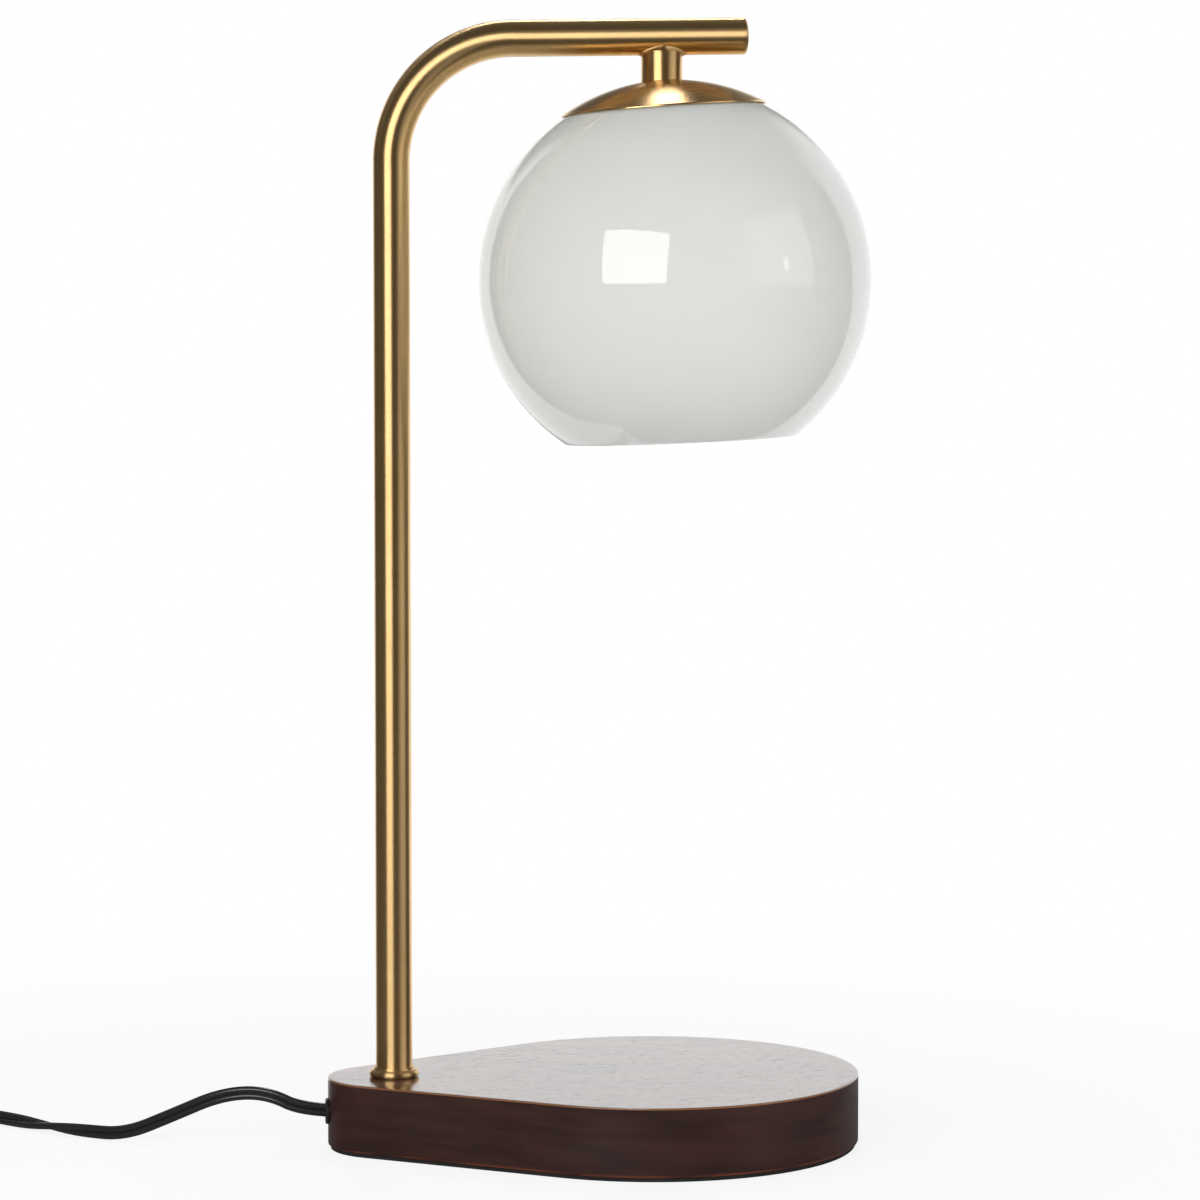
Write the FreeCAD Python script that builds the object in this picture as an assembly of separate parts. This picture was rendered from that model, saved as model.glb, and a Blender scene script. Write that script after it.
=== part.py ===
import FreeCAD, Part
import math
import os

from FreeCAD import Placement, Rotation, Vector

# A table lamp: a bent brass tube on a teardrop wooden base carries an open-bottomed opal glass globe
# under a domed brass cap. Millimetres and degrees. The origin is on the table under the post's axis,
# +X points along the arm to the globe, +Y away from the front and +Z up.

# Gaps and fits
SEAT_GAP = 0.3  # between pieces that come apart and rest against each other
RUNNING_GAP = 0.06  # radial, between a turning piece and what it turns on
THREAD_GAP = 0.05  # radial, between a threaded pipe and a tapped hole
SLEEVE_GAP = 0.1  # radial, between a piece and the hole it is pushed into

# Teardrop base
SMALL_END_RADIUS = 29.0
LARGE_END_RADIUS = 91.0
END_CENTRES = 114.0
BASE_HEIGHT = 31.5
PAD_THICKNESS = 1.8
PAD_INSET = 1.2
VENEER_THICKNESS = 0.7
EASED_EDGE = 0.4

# Hollows under the base
FOOT_POCKET_RADIUS = 17.0
FOOT_POCKET_ROOF = 8.0
WEIGHT_RADIUS = 61.0
WEIGHT_THICKNESS = 12.0
WEIGHT_RECESS = 2.0
WEIGHT_POCKET_GAP = 0.8
WEIGHT_SCREWS = 3
WEIGHT_SCREW_CIRCLE = 42.0
WEIGHT_SCREW_RADIUS = 2.0
WEIGHT_SCREW_HEAD = 4.0
WEIGHT_SCREW_BITE = 9.0
EXIT_HEIGHT = 16.5

# Bushing where the cord leaves the base
BUSHING_WALL = 1.8
BUSHING_LIP = 0.8
BUSHING_LIP_THICKNESS = 1.3

# Post and arm, one bent tube
TUBE_RADIUS = 8.0
TUBE_WALL = 1.2
CROSSING_HEIGHT = 483.1  # where the post's axis and the arm's axis cross
BEND_RADIUS = 53.5
ARM_RISE = 1.0
ARM_LENGTH = 153.6
END_PLUG_EDGE = 1.4
END_PLUG_DOME = 0.9
END_PLUG_SPIGOT = 6.0

# Threaded pipes, the same thread at the foot and in the head
PIPE_RADIUS = 4.85
PIPE_BORE = 3.5

# Foot of the post
FOOT_INSERT_LENGTH = 14.0
FOOT_PIPE_BITE = 12.0
FOOT_HOLE_GAP = 0.4
FOOT_WASHER_RADIUS = 13.0
FOOT_WASHER_THICKNESS = 1.2
LOCK_WASHER_RADIUS = 8.8
LOCK_WASHER_THICKNESS = 0.9
LOCK_WASHER_SLIT = 1.6
FOOT_NUT_FLATS = 14.0
FOOT_NUT_THICKNESS = 4.0
FOOT_PIPE_TAIL = 1.0
COLLAR_RADIUS = 11.0
COLLAR_SHOULDER = 8.9
COLLAR_BEAD_HEIGHT = 3.2
COLLAR_HEIGHT = 4.3

# Stem between the arm and the cap
STEM_REACH = 117.9
STEM_RADIUS = 9.0
SEAT_BELOW_ARM = 19.3  # from the arm's axis to where the head's axis meets the stem's lower end
STEM_TOP_BELOW_ARM = 5.6  # the stem's ears end this far below the arm's axis
BEAD_THICKNESS = 1.2
BEAD_TOP_BELOW_ARM = 3.8
BEAD_ARCH_RADIUS = 17.4
WIRE_HOLE_RADIUS = 4.5

# Head: cap, socket, globe and bulb hang on one axis, a little out of plumb
HEAD_TILT = 4.0
HEAD_PIPE_TOP = 8.0
CAP_WALL = 0.8
CAP_RADIUS = 44.7
CAP_FLAT_RADIUS = 9.6
CAP_EDGE_ROUND = 0.5
CAP_NUT_FLATS = 14.0
CAP_NUT_THICKNESS = 3.0

# Glass globe
GLOBE_RADIUS = 86.0
GLOBE_WALL = 3.2
GLOBE_CAP_GAP = 0.4
NECK_HOLE_RADIUS = 20.7
MOUTH_RADIUS = 50.3  # to the middle of the wall
MOUTH_SKEW = 1.5  # the mouth is cut this much out of square

# Lampholder, along the head's axis below the cap
HOLDER_TOP = 4.3
HOLDER_CAP_RADIUS = 17.2
HOLDER_CAP_WALL = 2.0
HOLDER_CAP_LENGTH = 15.0
HOLDER_NECK_RADIUS = 8.0
HOLDER_NECK_LENGTH = 8.0
HOLDER_SKIRT_RADIUS = 19.4
HOLDER_SKIRT_TOP = 9.5
HOLDER_SKIRT_BOTTOM = 54.0
HOLDER_FLOOR_TOP = 24.0
HOLDER_FLOOR_THICKNESS = 4.0
HOLDER_FLOOR_HOLE = 6.0
BLOCK_THICKNESS = 3.6
SHELL_RADIUS = 14.1
SHELL_WALL = 0.5
SHELL_LIP = 2.0
CONTACT_RADIUS = 3.5
CONTACT_HEAD = 1.2
CONTACT_REACH = 3.4

# Ring that clamps the globe from inside
RING_RADIUS = 27.0
RING_FLANGE = 2.2
RING_LENGTH = 8.0
RING_HUB_WALL = 3.2
RING_GRIPS = 12
RING_GRIP_RADIUS = 2.4

# Slim bulb, small enough to pass through the globe's neck
BULB_RADIUS = 16.0
BULB_LENGTH = 86.0
BULB_WALL = 1.0
BULB_CAP_RADIUS = 13.1
BULB_CAP_LENGTH = 22.0
BULB_CAP_WALL = 0.4
BULB_INSULATOR_HEIGHT = 3.0
BULB_INSULATOR_TOP = 6.5
BULB_TIP_RADIUS = 4.4
BULB_TIP_HEIGHT = 1.6
BULB_NECK_RISE = 9.0

# Wires inside the base, the tube and the head
WIRE_RADIUS = 1.8
WIRE_LEVEL_RUN = 3.5  # straight on from the cord's end, before the wires dip under the threaded pipe
WIRE_LOW_POINT = 6.0
WIRE_LOW_REACH = 10.0
WIRE_LOW_RISE = 3.0
WIRE_SHORT_OF_BLOCK = 0.5

# Cord and what is on it
CORD_RADIUS = 3.0
CORD_START = 16.0  # inside the foot pocket, this far from the post's axis
SWITCH_LENGTH = 50.0
SWITCH_WIDTH = 24.0
SWITCH_END_WIDTH = 13.0
SWITCH_HEIGHT = 14.0
SWITCH_EDGE = 2.0
DIAL_RADIUS = 13.4
DIAL_THICKNESS = 4.8
DIAL_RIDGES = 20
DIAL_RIDGE_RADIUS = 0.7
DIAL_GAP = 0.4
AXLE_RADIUS = 1.5
AXLE_LENGTH = 10.0
SWITCH_SCREW_RADIUS = 1.2
SWITCH_SCREW_HEAD = 2.4
SWITCH_SCREW_HEAD_HEIGHT = 1.4
SWITCH_SCREW_LENGTH = 9.5
SWITCH_SCREW_REACH = 15.5
CORD_IN_SWITCH = 7.0
COIL_MIDDLE_RADIUS = 31.0
COIL_BUILD = 17.0
COIL_HEIGHT = 12.4
COIL_LAY_RADIUS = 37.5  # the outermost turn's centreline
PLUG_TAIL_LENGTH = 20.0
PLUG_TAIL_RADIUS = 4.0
PLUG_LENGTH = 25.0
PLUG_WIDTH = 22.0
PLUG_HEIGHT = 15.0
PLUG_REAR_WIDTH = 11.0
PLUG_REAR_HEIGHT = 9.0
PLUG_CORNER = 3.4
BLADE_LENGTH = 17.0
BLADE_ROOT = 8.0
BLADE_WIDTHS = (6.3, 7.9)
BLADE_THICKNESS = 1.5
BLADE_SPACING = 12.7
BLADE_HOLE_RADIUS = 1.6
BLADE_HOLE_FROM_TIP = 5.0

# Routes, chosen by hand: out of the base, over a low hump and down onto the table, to the switch;
# from the switch round to the coil; from the coil to the plug
CORD_TO_SWITCH = [
    Vector(-CORD_START, 0.0, EXIT_HEIGHT),
    Vector(-39.0, 0.0, EXIT_HEIGHT),
    Vector(-56.0, 2.5, 25.0),
    Vector(-75.5, 7.5, 23.5),
    Vector(-97.0, 16.0, 13.0),
    Vector(-117.5, 25.5, 3.2),
    Vector(-136.0, 37.0, 3.0),
    Vector(-155.0, 52.5, 3.0),
    Vector(-170.5, 70.0, 3.0),
    Vector(-182.5, 78.5, 3.6),
    Vector(-196.0, 83.0, 5.6),
    Vector(-209.5, 84.5, 7.0),
    Vector(-221.5, 84.5, 7.0),
]
CORD_TO_COIL = [
    Vector(-257.5, 84.5, 7.0),
    Vector(-272.0, 84.5, 7.0),
    Vector(-285.5, 79.0, 5.6),
    Vector(-296.0, 68.5, 4.2),
    Vector(-302.0, 55.0, 3.2),
    Vector(-303.0, 41.0, 3.0),
    Vector(-303.0, 28.0, 3.0),
]
CORD_TO_PLUG = [
    Vector(-265.5, -9.5, 9.0),
    Vector(-254.5, -9.5, 7.5),
    Vector(-244.0, -9.5, 7.5),
]

X_AXIS = Vector(1, 0, 0)
Y_AXIS = Vector(0, 1, 0)
Z_AXIS = Vector(0, 0, 1)
ORIGIN = Vector(0, 0, 0)

# Places worked out from the sizes above
BLOCK_BOTTOM = PAD_THICKNESS
BLOCK_TOP = BASE_HEIGHT - VENEER_THICKNESS
FOOT_ROOF = BLOCK_TOP - FOOT_POCKET_ROOF
WEIGHT_ROOF = BLOCK_BOTTOM + WEIGHT_RECESS + WEIGHT_THICKNESS
FOOT_NUT_TOP = FOOT_ROOF - FOOT_WASHER_THICKNESS - LOCK_WASHER_THICKNESS
FOOT_NUT_BOTTOM = FOOT_NUT_TOP - FOOT_NUT_THICKNESS
TUBE_BORE = TUBE_RADIUS - TUBE_WALL
CORD_SLEEVE = CORD_RADIUS + SLEEVE_GAP
BUSHING_RADIUS = CORD_SLEEVE + BUSHING_WALL
CROSSING = Vector(0, 0, CROSSING_HEIGHT)
ARM_WAY = Vector(math.cos(math.radians(ARM_RISE)), 0, math.sin(math.radians(ARM_RISE)))
ARM_OVER_STEM = CROSSING_HEIGHT + STEM_REACH * math.tan(math.radians(ARM_RISE))
SEAT_HEIGHT = ARM_OVER_STEM - SEAT_BELOW_ARM
SEAT = Vector(STEM_REACH, 0, SEAT_HEIGHT)
CAP_OUTER_SPHERE = GLOBE_RADIUS + CAP_WALL
CAP_CENTRE_DROP = math.sqrt(CAP_OUTER_SPHERE**2 - CAP_FLAT_RADIUS**2)
GLOBE_DROP = CAP_CENTRE_DROP + GLOBE_CAP_GAP
GLOBE_INSIDE = GLOBE_RADIUS - GLOBE_WALL
RING_TOP = GLOBE_DROP - math.sqrt(GLOBE_INSIDE**2 - RING_RADIUS**2) + SEAT_GAP
HOLDER_FLOOR_BOTTOM = HOLDER_FLOOR_TOP + HOLDER_FLOOR_THICKNESS
CONTACT_END = HOLDER_FLOOR_TOP + CONTACT_HEAD + HOLDER_FLOOR_THICKNESS + CONTACT_REACH
BULB_TOP = CONTACT_END + SEAT_GAP
SWITCH_CENTRE = (CORD_TO_SWITCH[-1] + CORD_TO_COIL[0]) / 2
COIL_CENTRE = Vector(CORD_TO_COIL[-1].x + COIL_LAY_RADIUS, CORD_TO_COIL[-1].y, 0)
PLUG_REAR = CORD_TO_PLUG[-1]


# ---------------------------------------------------------------- shapes that are used again

def upright(radius, low, high):
    """A round bar on the Z axis between two heights."""
    return Part.makeCylinder(radius, high - low, Vector(0, 0, low))


def washer(outer, inner, low, high):
    """A flat ring on the Z axis between two heights."""
    return upright(outer, low, high).cut(upright(inner, low - 1, high + 1))


def line(a, b):
    return Part.LineSegment(a, b).toShape()


def arc(a, middle, b):
    return Part.Arc(a, middle, b).toShape()


def in_profile(radius, height):
    """A point of a turned profile, which lies in the XZ plane."""
    return Vector(radius, 0, height)


def turned(edges):
    """The solid that a closed profile in the XZ plane sweeps round the Z axis."""
    return Part.Face(Part.Wire(edges)).revolve(ORIGIN, Z_AXIS, 360)


def turned_through(points):
    """A turned solid whose profile runs straight between its points."""
    corners = [in_profile(radius, height) for radius, height in points]
    return turned([line(a, b) for a, b in zip(corners, corners[1:] + corners[:1])])


def on_sphere(radius, out, drop=0.0):
    """The point above a sphere's middle on its skin, at a distance out from the Z axis."""
    return in_profile(out, math.sqrt(radius**2 - out**2) - drop)


def dome(radius, low, rise):
    """The arc from a rim up or down to the Z axis whose turned surface is part of a sphere."""
    sphere = (radius**2 + rise**2) / (2 * abs(rise))
    half = math.asin(radius / sphere) / 2
    drop = math.copysign(sphere * (1 - math.cos(half)), rise)
    between = in_profile(sphere * math.sin(half), low + rise - drop)
    return arc(in_profile(radius, low), between, in_profile(0, low + rise))


def hexagon(flats, bore, low, high):
    """A hexagon nut on the Z axis between two heights."""
    reach = flats / 2 / math.cos(math.radians(30))
    turns = [math.radians(60 * i) for i in range(6)]
    corners = [Vector(reach * math.cos(t), reach * math.sin(t), low) for t in turns]
    body = Part.Face(Part.makePolygon(corners + corners[:1])).extrude(Vector(0, 0, high - low))
    return body.cut(upright(bore, low - 1, high + 1))


def round_copies(shape, count):
    """Equal copies of a shape round the Z axis."""
    copies = []
    for i in range(count):
        copy = shape.copy()
        copy.rotate(ORIGIN, Z_AXIS, 360 * i / count)
        copies.append(copy)
    return copies


def placed(shape, base, rotation):
    """A copy, turned about the origin and then moved, on top of the turns it already has."""
    moved = shape.copy()
    moved.Placement = Placement(base, rotation).multiply(shape.Placement)
    return moved


def in_head(shape):
    """Moves a piece modelled about the Z axis onto the head's axis, with its height 0 at the seat."""
    return placed(shape, SEAT, Rotation(Y_AXIS, -HEAD_TILT))


def on_arm(shape, distance):
    """Moves a piece modelled about the Z axis onto the arm's axis, that far from the post's."""
    return placed(shape, CROSSING + ARM_WAY * distance, Rotation(Z_AXIS, ARM_WAY))


def bend_of(points, index):
    """The two tangent points, the middle and the radius of the arc at a route's corner."""
    before, corner, after = points[index - 1:index + 2]
    back = before - corner
    ahead = after - corner
    half_turn = (math.pi - back.getAngle(ahead)) / 2
    reach = 0.45 * min(back.Length, ahead.Length)
    radius = reach / math.tan(half_turn)
    back.normalize()
    ahead.normalize()
    inward = back + ahead
    inward.normalize()
    middle = corner + inward * (radius / math.cos(half_turn) - radius)
    return corner + back * reach, middle, corner + ahead * reach, radius


def route_wire(points):
    """Straight runs joined by tangent arcs, each as large as its two runs allow."""
    edges = []
    radii = []
    start = points[0]
    for index in range(1, len(points) - 1):
        first, middle, last, radius = bend_of(points, index)
        edges.append(line(start, first))
        edges.append(arc(first, middle, last))
        radii.append(radius)
        start = last
    edges.append(line(start, points[-1]))
    return Part.Wire(edges), radii


def tube_along(wire, radius):
    """A round solid carried along a wire."""
    start = wire.OrderedEdges[0]
    way = start.tangentAt(start.FirstParameter)
    section = Part.Wire(Part.makeCircle(radius, start.valueAt(start.FirstParameter), way))
    return wire.makePipeShell([section], True, True)


def cord_along(name, points):
    """A cord's tube, with its radii printed and its volume set against section times length."""
    wire, radii = route_wire(points)
    tube = tube_along(wire, CORD_RADIUS)
    share = tube.Volume / (math.pi * CORD_RADIUS**2 * wire.Length)
    print(name, "length", round(wire.Length, 1), "smallest radius", round(min(radii), 1),
          "radii", [round(r) for r in radii], "volume share", round(share, 4))
    return tube


# ---------------------------------------------------------------- base

def teardrop(inset, low, high):
    """The base's outline, two round ends joined by straight tangents, raised between two heights."""
    small = SMALL_END_RADIUS - inset
    large = LARGE_END_RADIUS - inset
    lean = (large - small) / END_CENTRES
    normal = Vector(-lean, math.sqrt(1 - lean**2), 0)
    mirrored = Vector(normal.x, -normal.y, 0)
    foot = Vector(0, 0, low)
    far = Vector(END_CENTRES, 0, low)
    outline = [
        arc(foot + normal * small, foot - X_AXIS * small, foot + mirrored * small),
        line(foot + mirrored * small, far + mirrored * large),
        arc(far + mirrored * large, far + X_AXIS * large, far + normal * large),
        line(far + normal * large, foot + normal * small),
    ]
    return Part.Face(Part.Wire(outline)).extrude(Vector(0, 0, high - low))


def at_large_end(shape):
    return placed(shape, Vector(END_CENTRES, 0, 0), Rotation())


def exit_bar(radius, first, last):
    """A round bar along the cord's exit, between two distances from the post's axis."""
    return Part.makeCylinder(radius, last - first, Vector(-first, 0, EXIT_HEIGHT), -X_AXIS)


def base_block():
    """Solid wood core with its hollows cut from below."""
    block = teardrop(0, BLOCK_BOTTOM, BLOCK_TOP)
    weight_pocket = at_large_end(
        upright(WEIGHT_RADIUS + WEIGHT_POCKET_GAP, BLOCK_BOTTOM, WEIGHT_ROOF))
    pilot = weight_screw_shank(THREAD_GAP)
    pilots = [at_large_end(hole) for hole in round_copies(pilot, WEIGHT_SCREWS)]
    cuts = [
        upright(FOOT_POCKET_RADIUS, BLOCK_BOTTOM, FOOT_ROOF),
        upright(PIPE_RADIUS + FOOT_HOLE_GAP, FOOT_ROOF, BLOCK_TOP),
        exit_bar(BUSHING_RADIUS + SLEEVE_GAP, FOOT_POCKET_RADIUS / 2, SMALL_END_RADIUS + 1),
        weight_pocket,
    ]
    return block.cut(cuts + pilots)


def top_veneer():
    """Thin wood sheet on the core, its upper edge eased."""
    sheet = teardrop(0, BLOCK_TOP, BASE_HEIGHT)
    rim = [edge for edge in sheet.Edges if edge.BoundBox.ZMin > BASE_HEIGHT - 0.001]
    eased = sheet.makeFillet(EASED_EDGE, rim)
    return eased.cut(upright(PIPE_RADIUS + FOOT_HOLE_GAP, BLOCK_TOP - 1, BASE_HEIGHT + 1))


def bottom_pad():
    """Foam pad that covers the underside and is what the lamp stands on."""
    return teardrop(PAD_INSET, 0, PAD_THICKNESS)


def weight_screw_shank(gap):
    """The part of a weight screw that bites into the wood; gap widens it into its pilot hole."""
    return Part.makeCylinder(WEIGHT_SCREW_RADIUS + gap, WEIGHT_SCREW_BITE,
                             Vector(WEIGHT_SCREW_CIRCLE, 0, WEIGHT_ROOF))


def weight_screw(gap):
    """A countersunk screw through the weight; gap widens it into the hole it passes."""
    low = WEIGHT_ROOF - WEIGHT_THICKNESS
    sink = WEIGHT_SCREW_HEAD - WEIGHT_SCREW_RADIUS
    head = Part.makeCone(WEIGHT_SCREW_HEAD + gap, WEIGHT_SCREW_RADIUS + gap, sink,
                         Vector(WEIGHT_SCREW_CIRCLE, 0, low))
    shank = Part.makeCylinder(WEIGHT_SCREW_RADIUS + gap, WEIGHT_THICKNESS,
                              Vector(WEIGHT_SCREW_CIRCLE, 0, low))
    return head.fuse(shank)


def base_weight():
    """Steel disc that keeps the lamp from tipping under its overhung globe."""
    disc = upright(WEIGHT_RADIUS, WEIGHT_ROOF - WEIGHT_THICKNESS, WEIGHT_ROOF)
    return at_large_end(disc.cut(round_copies(weight_screw(SLEEVE_GAP), WEIGHT_SCREWS)))


def weight_screws():
    whole = weight_screw(0).fuse(weight_screw_shank(0)).removeSplitter()
    return at_large_end(Part.makeCompound(round_copies(whole, WEIGHT_SCREWS)))


def cord_bushing():
    """Moulded sleeve in the exit hole with a rounded lip outside."""
    outer = BUSHING_RADIUS
    lip = outer + BUSHING_LIP
    lip_end = SMALL_END_RADIUS + BUSHING_LIP_THICKNESS
    bottom = SMALL_END_RADIUS + BUSHING_LIP_THICKNESS / 2
    profile = [
        line(in_profile(CORD_SLEEVE, FOOT_POCKET_RADIUS), in_profile(outer, FOOT_POCKET_RADIUS)),
        line(in_profile(outer, FOOT_POCKET_RADIUS), in_profile(outer, SMALL_END_RADIUS)),
        line(in_profile(outer, SMALL_END_RADIUS), in_profile(lip, SMALL_END_RADIUS)),
        line(in_profile(lip, SMALL_END_RADIUS), in_profile(lip, bottom)),
        arc(in_profile(lip, bottom),
            in_profile(lip - 0.3 * BUSHING_LIP_THICKNESS, lip_end - 0.15 * BUSHING_LIP_THICKNESS),
            in_profile(lip - BUSHING_LIP_THICKNESS, lip_end)),
        line(in_profile(lip - BUSHING_LIP_THICKNESS, lip_end), in_profile(CORD_SLEEVE, lip_end)),
        line(in_profile(CORD_SLEEVE, lip_end), in_profile(CORD_SLEEVE, FOOT_POCKET_RADIUS)),
    ]
    return placed(turned(profile), Vector(0, 0, EXIT_HEIGHT), Rotation(Z_AXIS, -X_AXIS))


# ---------------------------------------------------------------- foot of the post

def foot_pipe():
    """Threaded pipe that pulls the post down onto the base and lets the wires through."""
    return washer(PIPE_RADIUS, PIPE_BORE, FOOT_NUT_BOTTOM - FOOT_PIPE_TAIL,
                  BASE_HEIGHT + FOOT_PIPE_BITE)


def foot_washer():
    return washer(FOOT_WASHER_RADIUS, PIPE_RADIUS + FOOT_HOLE_GAP,
                  FOOT_ROOF - FOOT_WASHER_THICKNESS, FOOT_ROOF)


def lock_washer():
    """Spring washer, a ring with one slit."""
    high = FOOT_ROOF - FOOT_WASHER_THICKNESS
    ring = washer(LOCK_WASHER_RADIUS, PIPE_RADIUS + FOOT_HOLE_GAP,
                  high - LOCK_WASHER_THICKNESS, high)
    slit = Part.makeBox(LOCK_WASHER_RADIUS, LOCK_WASHER_SLIT, 2 * LOCK_WASHER_THICKNESS,
                        Vector(0, -LOCK_WASHER_SLIT / 2, high - 1.5 * LOCK_WASHER_THICKNESS))
    return ring.cut(slit)


def foot_nut():
    return hexagon(FOOT_NUT_FLATS, PIPE_RADIUS + THREAD_GAP, FOOT_NUT_BOTTOM, FOOT_NUT_TOP)


def foot_insert():
    """Tapped plug brazed into the tube's foot."""
    return washer(TUBE_BORE, PIPE_RADIUS + THREAD_GAP, BASE_HEIGHT,
                  BASE_HEIGHT + FOOT_INSERT_LENGTH)


def foot_collar():
    """Turned ring round the tube's foot: a bead below and a hollow up to a narrow shoulder."""
    bore = TUBE_RADIUS + THREAD_GAP
    bead_out = COLLAR_RADIUS
    bead_in = COLLAR_RADIUS - 0.2 * COLLAR_BEAD_HEIGHT
    low = BASE_HEIGHT
    bead_top = low + COLLAR_BEAD_HEIGHT
    high = low + COLLAR_HEIGHT
    hollow = in_profile(COLLAR_SHOULDER + 0.25 * (bead_in - COLLAR_SHOULDER),
                        bead_top + 0.3 * (high - bead_top))
    profile = [
        line(in_profile(bore, low), in_profile(bead_in, low)),
        arc(in_profile(bead_in, low), in_profile(bead_out, (low + bead_top) / 2),
            in_profile(bead_in, bead_top)),
        arc(in_profile(bead_in, bead_top), hollow, in_profile(COLLAR_SHOULDER, high)),
        line(in_profile(COLLAR_SHOULDER, high), in_profile(bore, high)),
        line(in_profile(bore, high), in_profile(bore, low)),
    ]
    return turned(profile)


# ---------------------------------------------------------------- post and arm

def tube_axis():
    """Up the post's axis, round the bend and along the arm's axis."""
    turn = math.radians(90 - ARM_RISE)
    reach = BEND_RADIUS * math.tan(turn / 2)
    first = CROSSING - Z_AXIS * reach
    last = CROSSING + ARM_WAY * reach
    centre = first + X_AXIS * BEND_RADIUS
    half = turn / 2
    middle = centre + Vector(-math.cos(half), 0, math.sin(half)) * BEND_RADIUS
    foot = Vector(0, 0, BASE_HEIGHT)
    end = CROSSING + ARM_WAY * ARM_LENGTH
    return Part.Wire([line(foot, first), arc(first, middle, last), line(last, end)])


def wire_hole():
    """The hole through which the wires turn down from the arm into the stem."""
    return in_head(upright(WIRE_HOLE_RADIUS, 0, SEAT_BELOW_ARM))


def arm_tube():
    outside = tube_along(tube_axis(), TUBE_RADIUS)
    inside = tube_along(tube_axis(), TUBE_BORE)
    return outside.cut([inside, wire_hole()])


def arm_end_plug():
    """Plug in the arm's open end: a spigot inside the tube and a slightly domed face."""
    edge = TUBE_RADIUS - END_PLUG_EDGE
    profile = [
        line(in_profile(0, -END_PLUG_SPIGOT), in_profile(TUBE_BORE, -END_PLUG_SPIGOT)),
        line(in_profile(TUBE_BORE, -END_PLUG_SPIGOT), in_profile(TUBE_BORE, 0)),
        line(in_profile(TUBE_BORE, 0), in_profile(TUBE_RADIUS, 0)),
        arc(in_profile(TUBE_RADIUS, 0),
            in_profile(TUBE_RADIUS - 0.3 * END_PLUG_EDGE, 0.7 * END_PLUG_EDGE),
            in_profile(edge, END_PLUG_EDGE)),
        dome(edge, END_PLUG_EDGE, END_PLUG_DOME),
        line(in_profile(0, END_PLUG_EDGE + END_PLUG_DOME), in_profile(0, -END_PLUG_SPIGOT)),
    ]
    return on_arm(turned(profile), ARM_LENGTH)


def arm_bar(radius):
    """A round bar on the arm's axis round about the stem."""
    half = BEAD_ARCH_RADIUS
    return on_arm(upright(radius, -half, half), STEM_REACH / ARM_WAY.x)


def saddle_bead():
    """Brazed bead on the arm's skin over the stem, arched at the front and the back."""
    shell = arm_bar(TUBE_RADIUS + BEAD_THICKNESS).cut(arm_bar(TUBE_RADIUS))
    arch_middle = ARM_OVER_STEM - BEAD_TOP_BELOW_ARM - BEAD_ARCH_RADIUS
    arch = Part.makeCylinder(BEAD_ARCH_RADIUS, 4 * TUBE_RADIUS,
                             Vector(STEM_REACH, -2 * TUBE_RADIUS, arch_middle), Y_AXIS)
    return shell.common(arch).cut(wire_hole())


def stem():
    """Short bar under the arm, coped to the bead above and cut square to the head's axis below."""
    low = SEAT_HEIGHT - STEM_RADIUS
    high = ARM_OVER_STEM - STEM_TOP_BELOW_ARM
    bar = Part.makeCylinder(STEM_RADIUS, high - low, Vector(STEM_REACH, 0, low))
    below_seat = in_head(upright(2 * STEM_RADIUS, -4 * STEM_RADIUS, 0))
    bore = in_head(upright(PIPE_RADIUS + THREAD_GAP, -STEM_RADIUS, SEAT_BELOW_ARM))
    return bar.cut([arm_bar(TUBE_RADIUS + BEAD_THICKNESS), below_seat, bore])


# ---------------------------------------------------------------- head

def head_pipe():
    """Threaded pipe from inside the stem down to the lampholder."""
    return in_head(washer(PIPE_RADIUS, PIPE_BORE, -HOLDER_TOP - HOLDER_NECK_LENGTH,
                          HEAD_PIPE_TOP))


def shade_cap():
    """Spun dome that follows the globe's crown, with a flat seat on top and a turned-down rim."""
    bore = PIPE_RADIUS + FOOT_HOLE_GAP
    inner_sphere = GLOBE_RADIUS
    drop = CAP_CENTRE_DROP
    inner_rim = CAP_RADIUS - CAP_WALL
    inner_flat = math.sqrt(inner_sphere**2 - (drop - CAP_WALL)**2)
    rim_start = on_sphere(CAP_OUTER_SPHERE, CAP_RADIUS - CAP_EDGE_ROUND, drop)
    rim_side = in_profile(CAP_RADIUS, rim_start.z - 0.8 * CAP_EDGE_ROUND)
    rim_middle = in_profile(CAP_RADIUS - 0.2 * CAP_EDGE_ROUND, rim_start.z - 0.3 * CAP_EDGE_ROUND)
    glass = on_sphere(GLOBE_RADIUS, inner_rim, GLOBE_DROP).z
    rim_low = glass + SEAT_GAP
    outer_middle = on_sphere(CAP_OUTER_SPHERE, CAP_RADIUS * 0.6, drop)
    inner_start = on_sphere(inner_sphere, inner_rim, drop)
    inner_middle = on_sphere(inner_sphere, CAP_RADIUS * 0.6, drop)
    inner_end = in_profile(inner_flat, -CAP_WALL)
    profile = [
        line(in_profile(bore, 0), in_profile(CAP_FLAT_RADIUS, 0)),
        arc(in_profile(CAP_FLAT_RADIUS, 0), outer_middle, rim_start),
        arc(rim_start, rim_middle, rim_side),
        line(rim_side, in_profile(CAP_RADIUS, rim_low)),
        line(in_profile(CAP_RADIUS, rim_low), in_profile(inner_rim, rim_low)),
        line(in_profile(inner_rim, rim_low), inner_start),
        arc(inner_start, inner_middle, inner_end),
        line(inner_end, in_profile(bore, -CAP_WALL)),
        line(in_profile(bore, -CAP_WALL), in_profile(bore, 0)),
    ]
    return in_head(turned(profile))


def cap_nut():
    """Thin nut that clamps the cap up against the stem."""
    return in_head(hexagon(CAP_NUT_FLATS, PIPE_RADIUS + THREAD_GAP,
                           -CAP_WALL - CAP_NUT_THICKNESS, -CAP_WALL))


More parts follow.
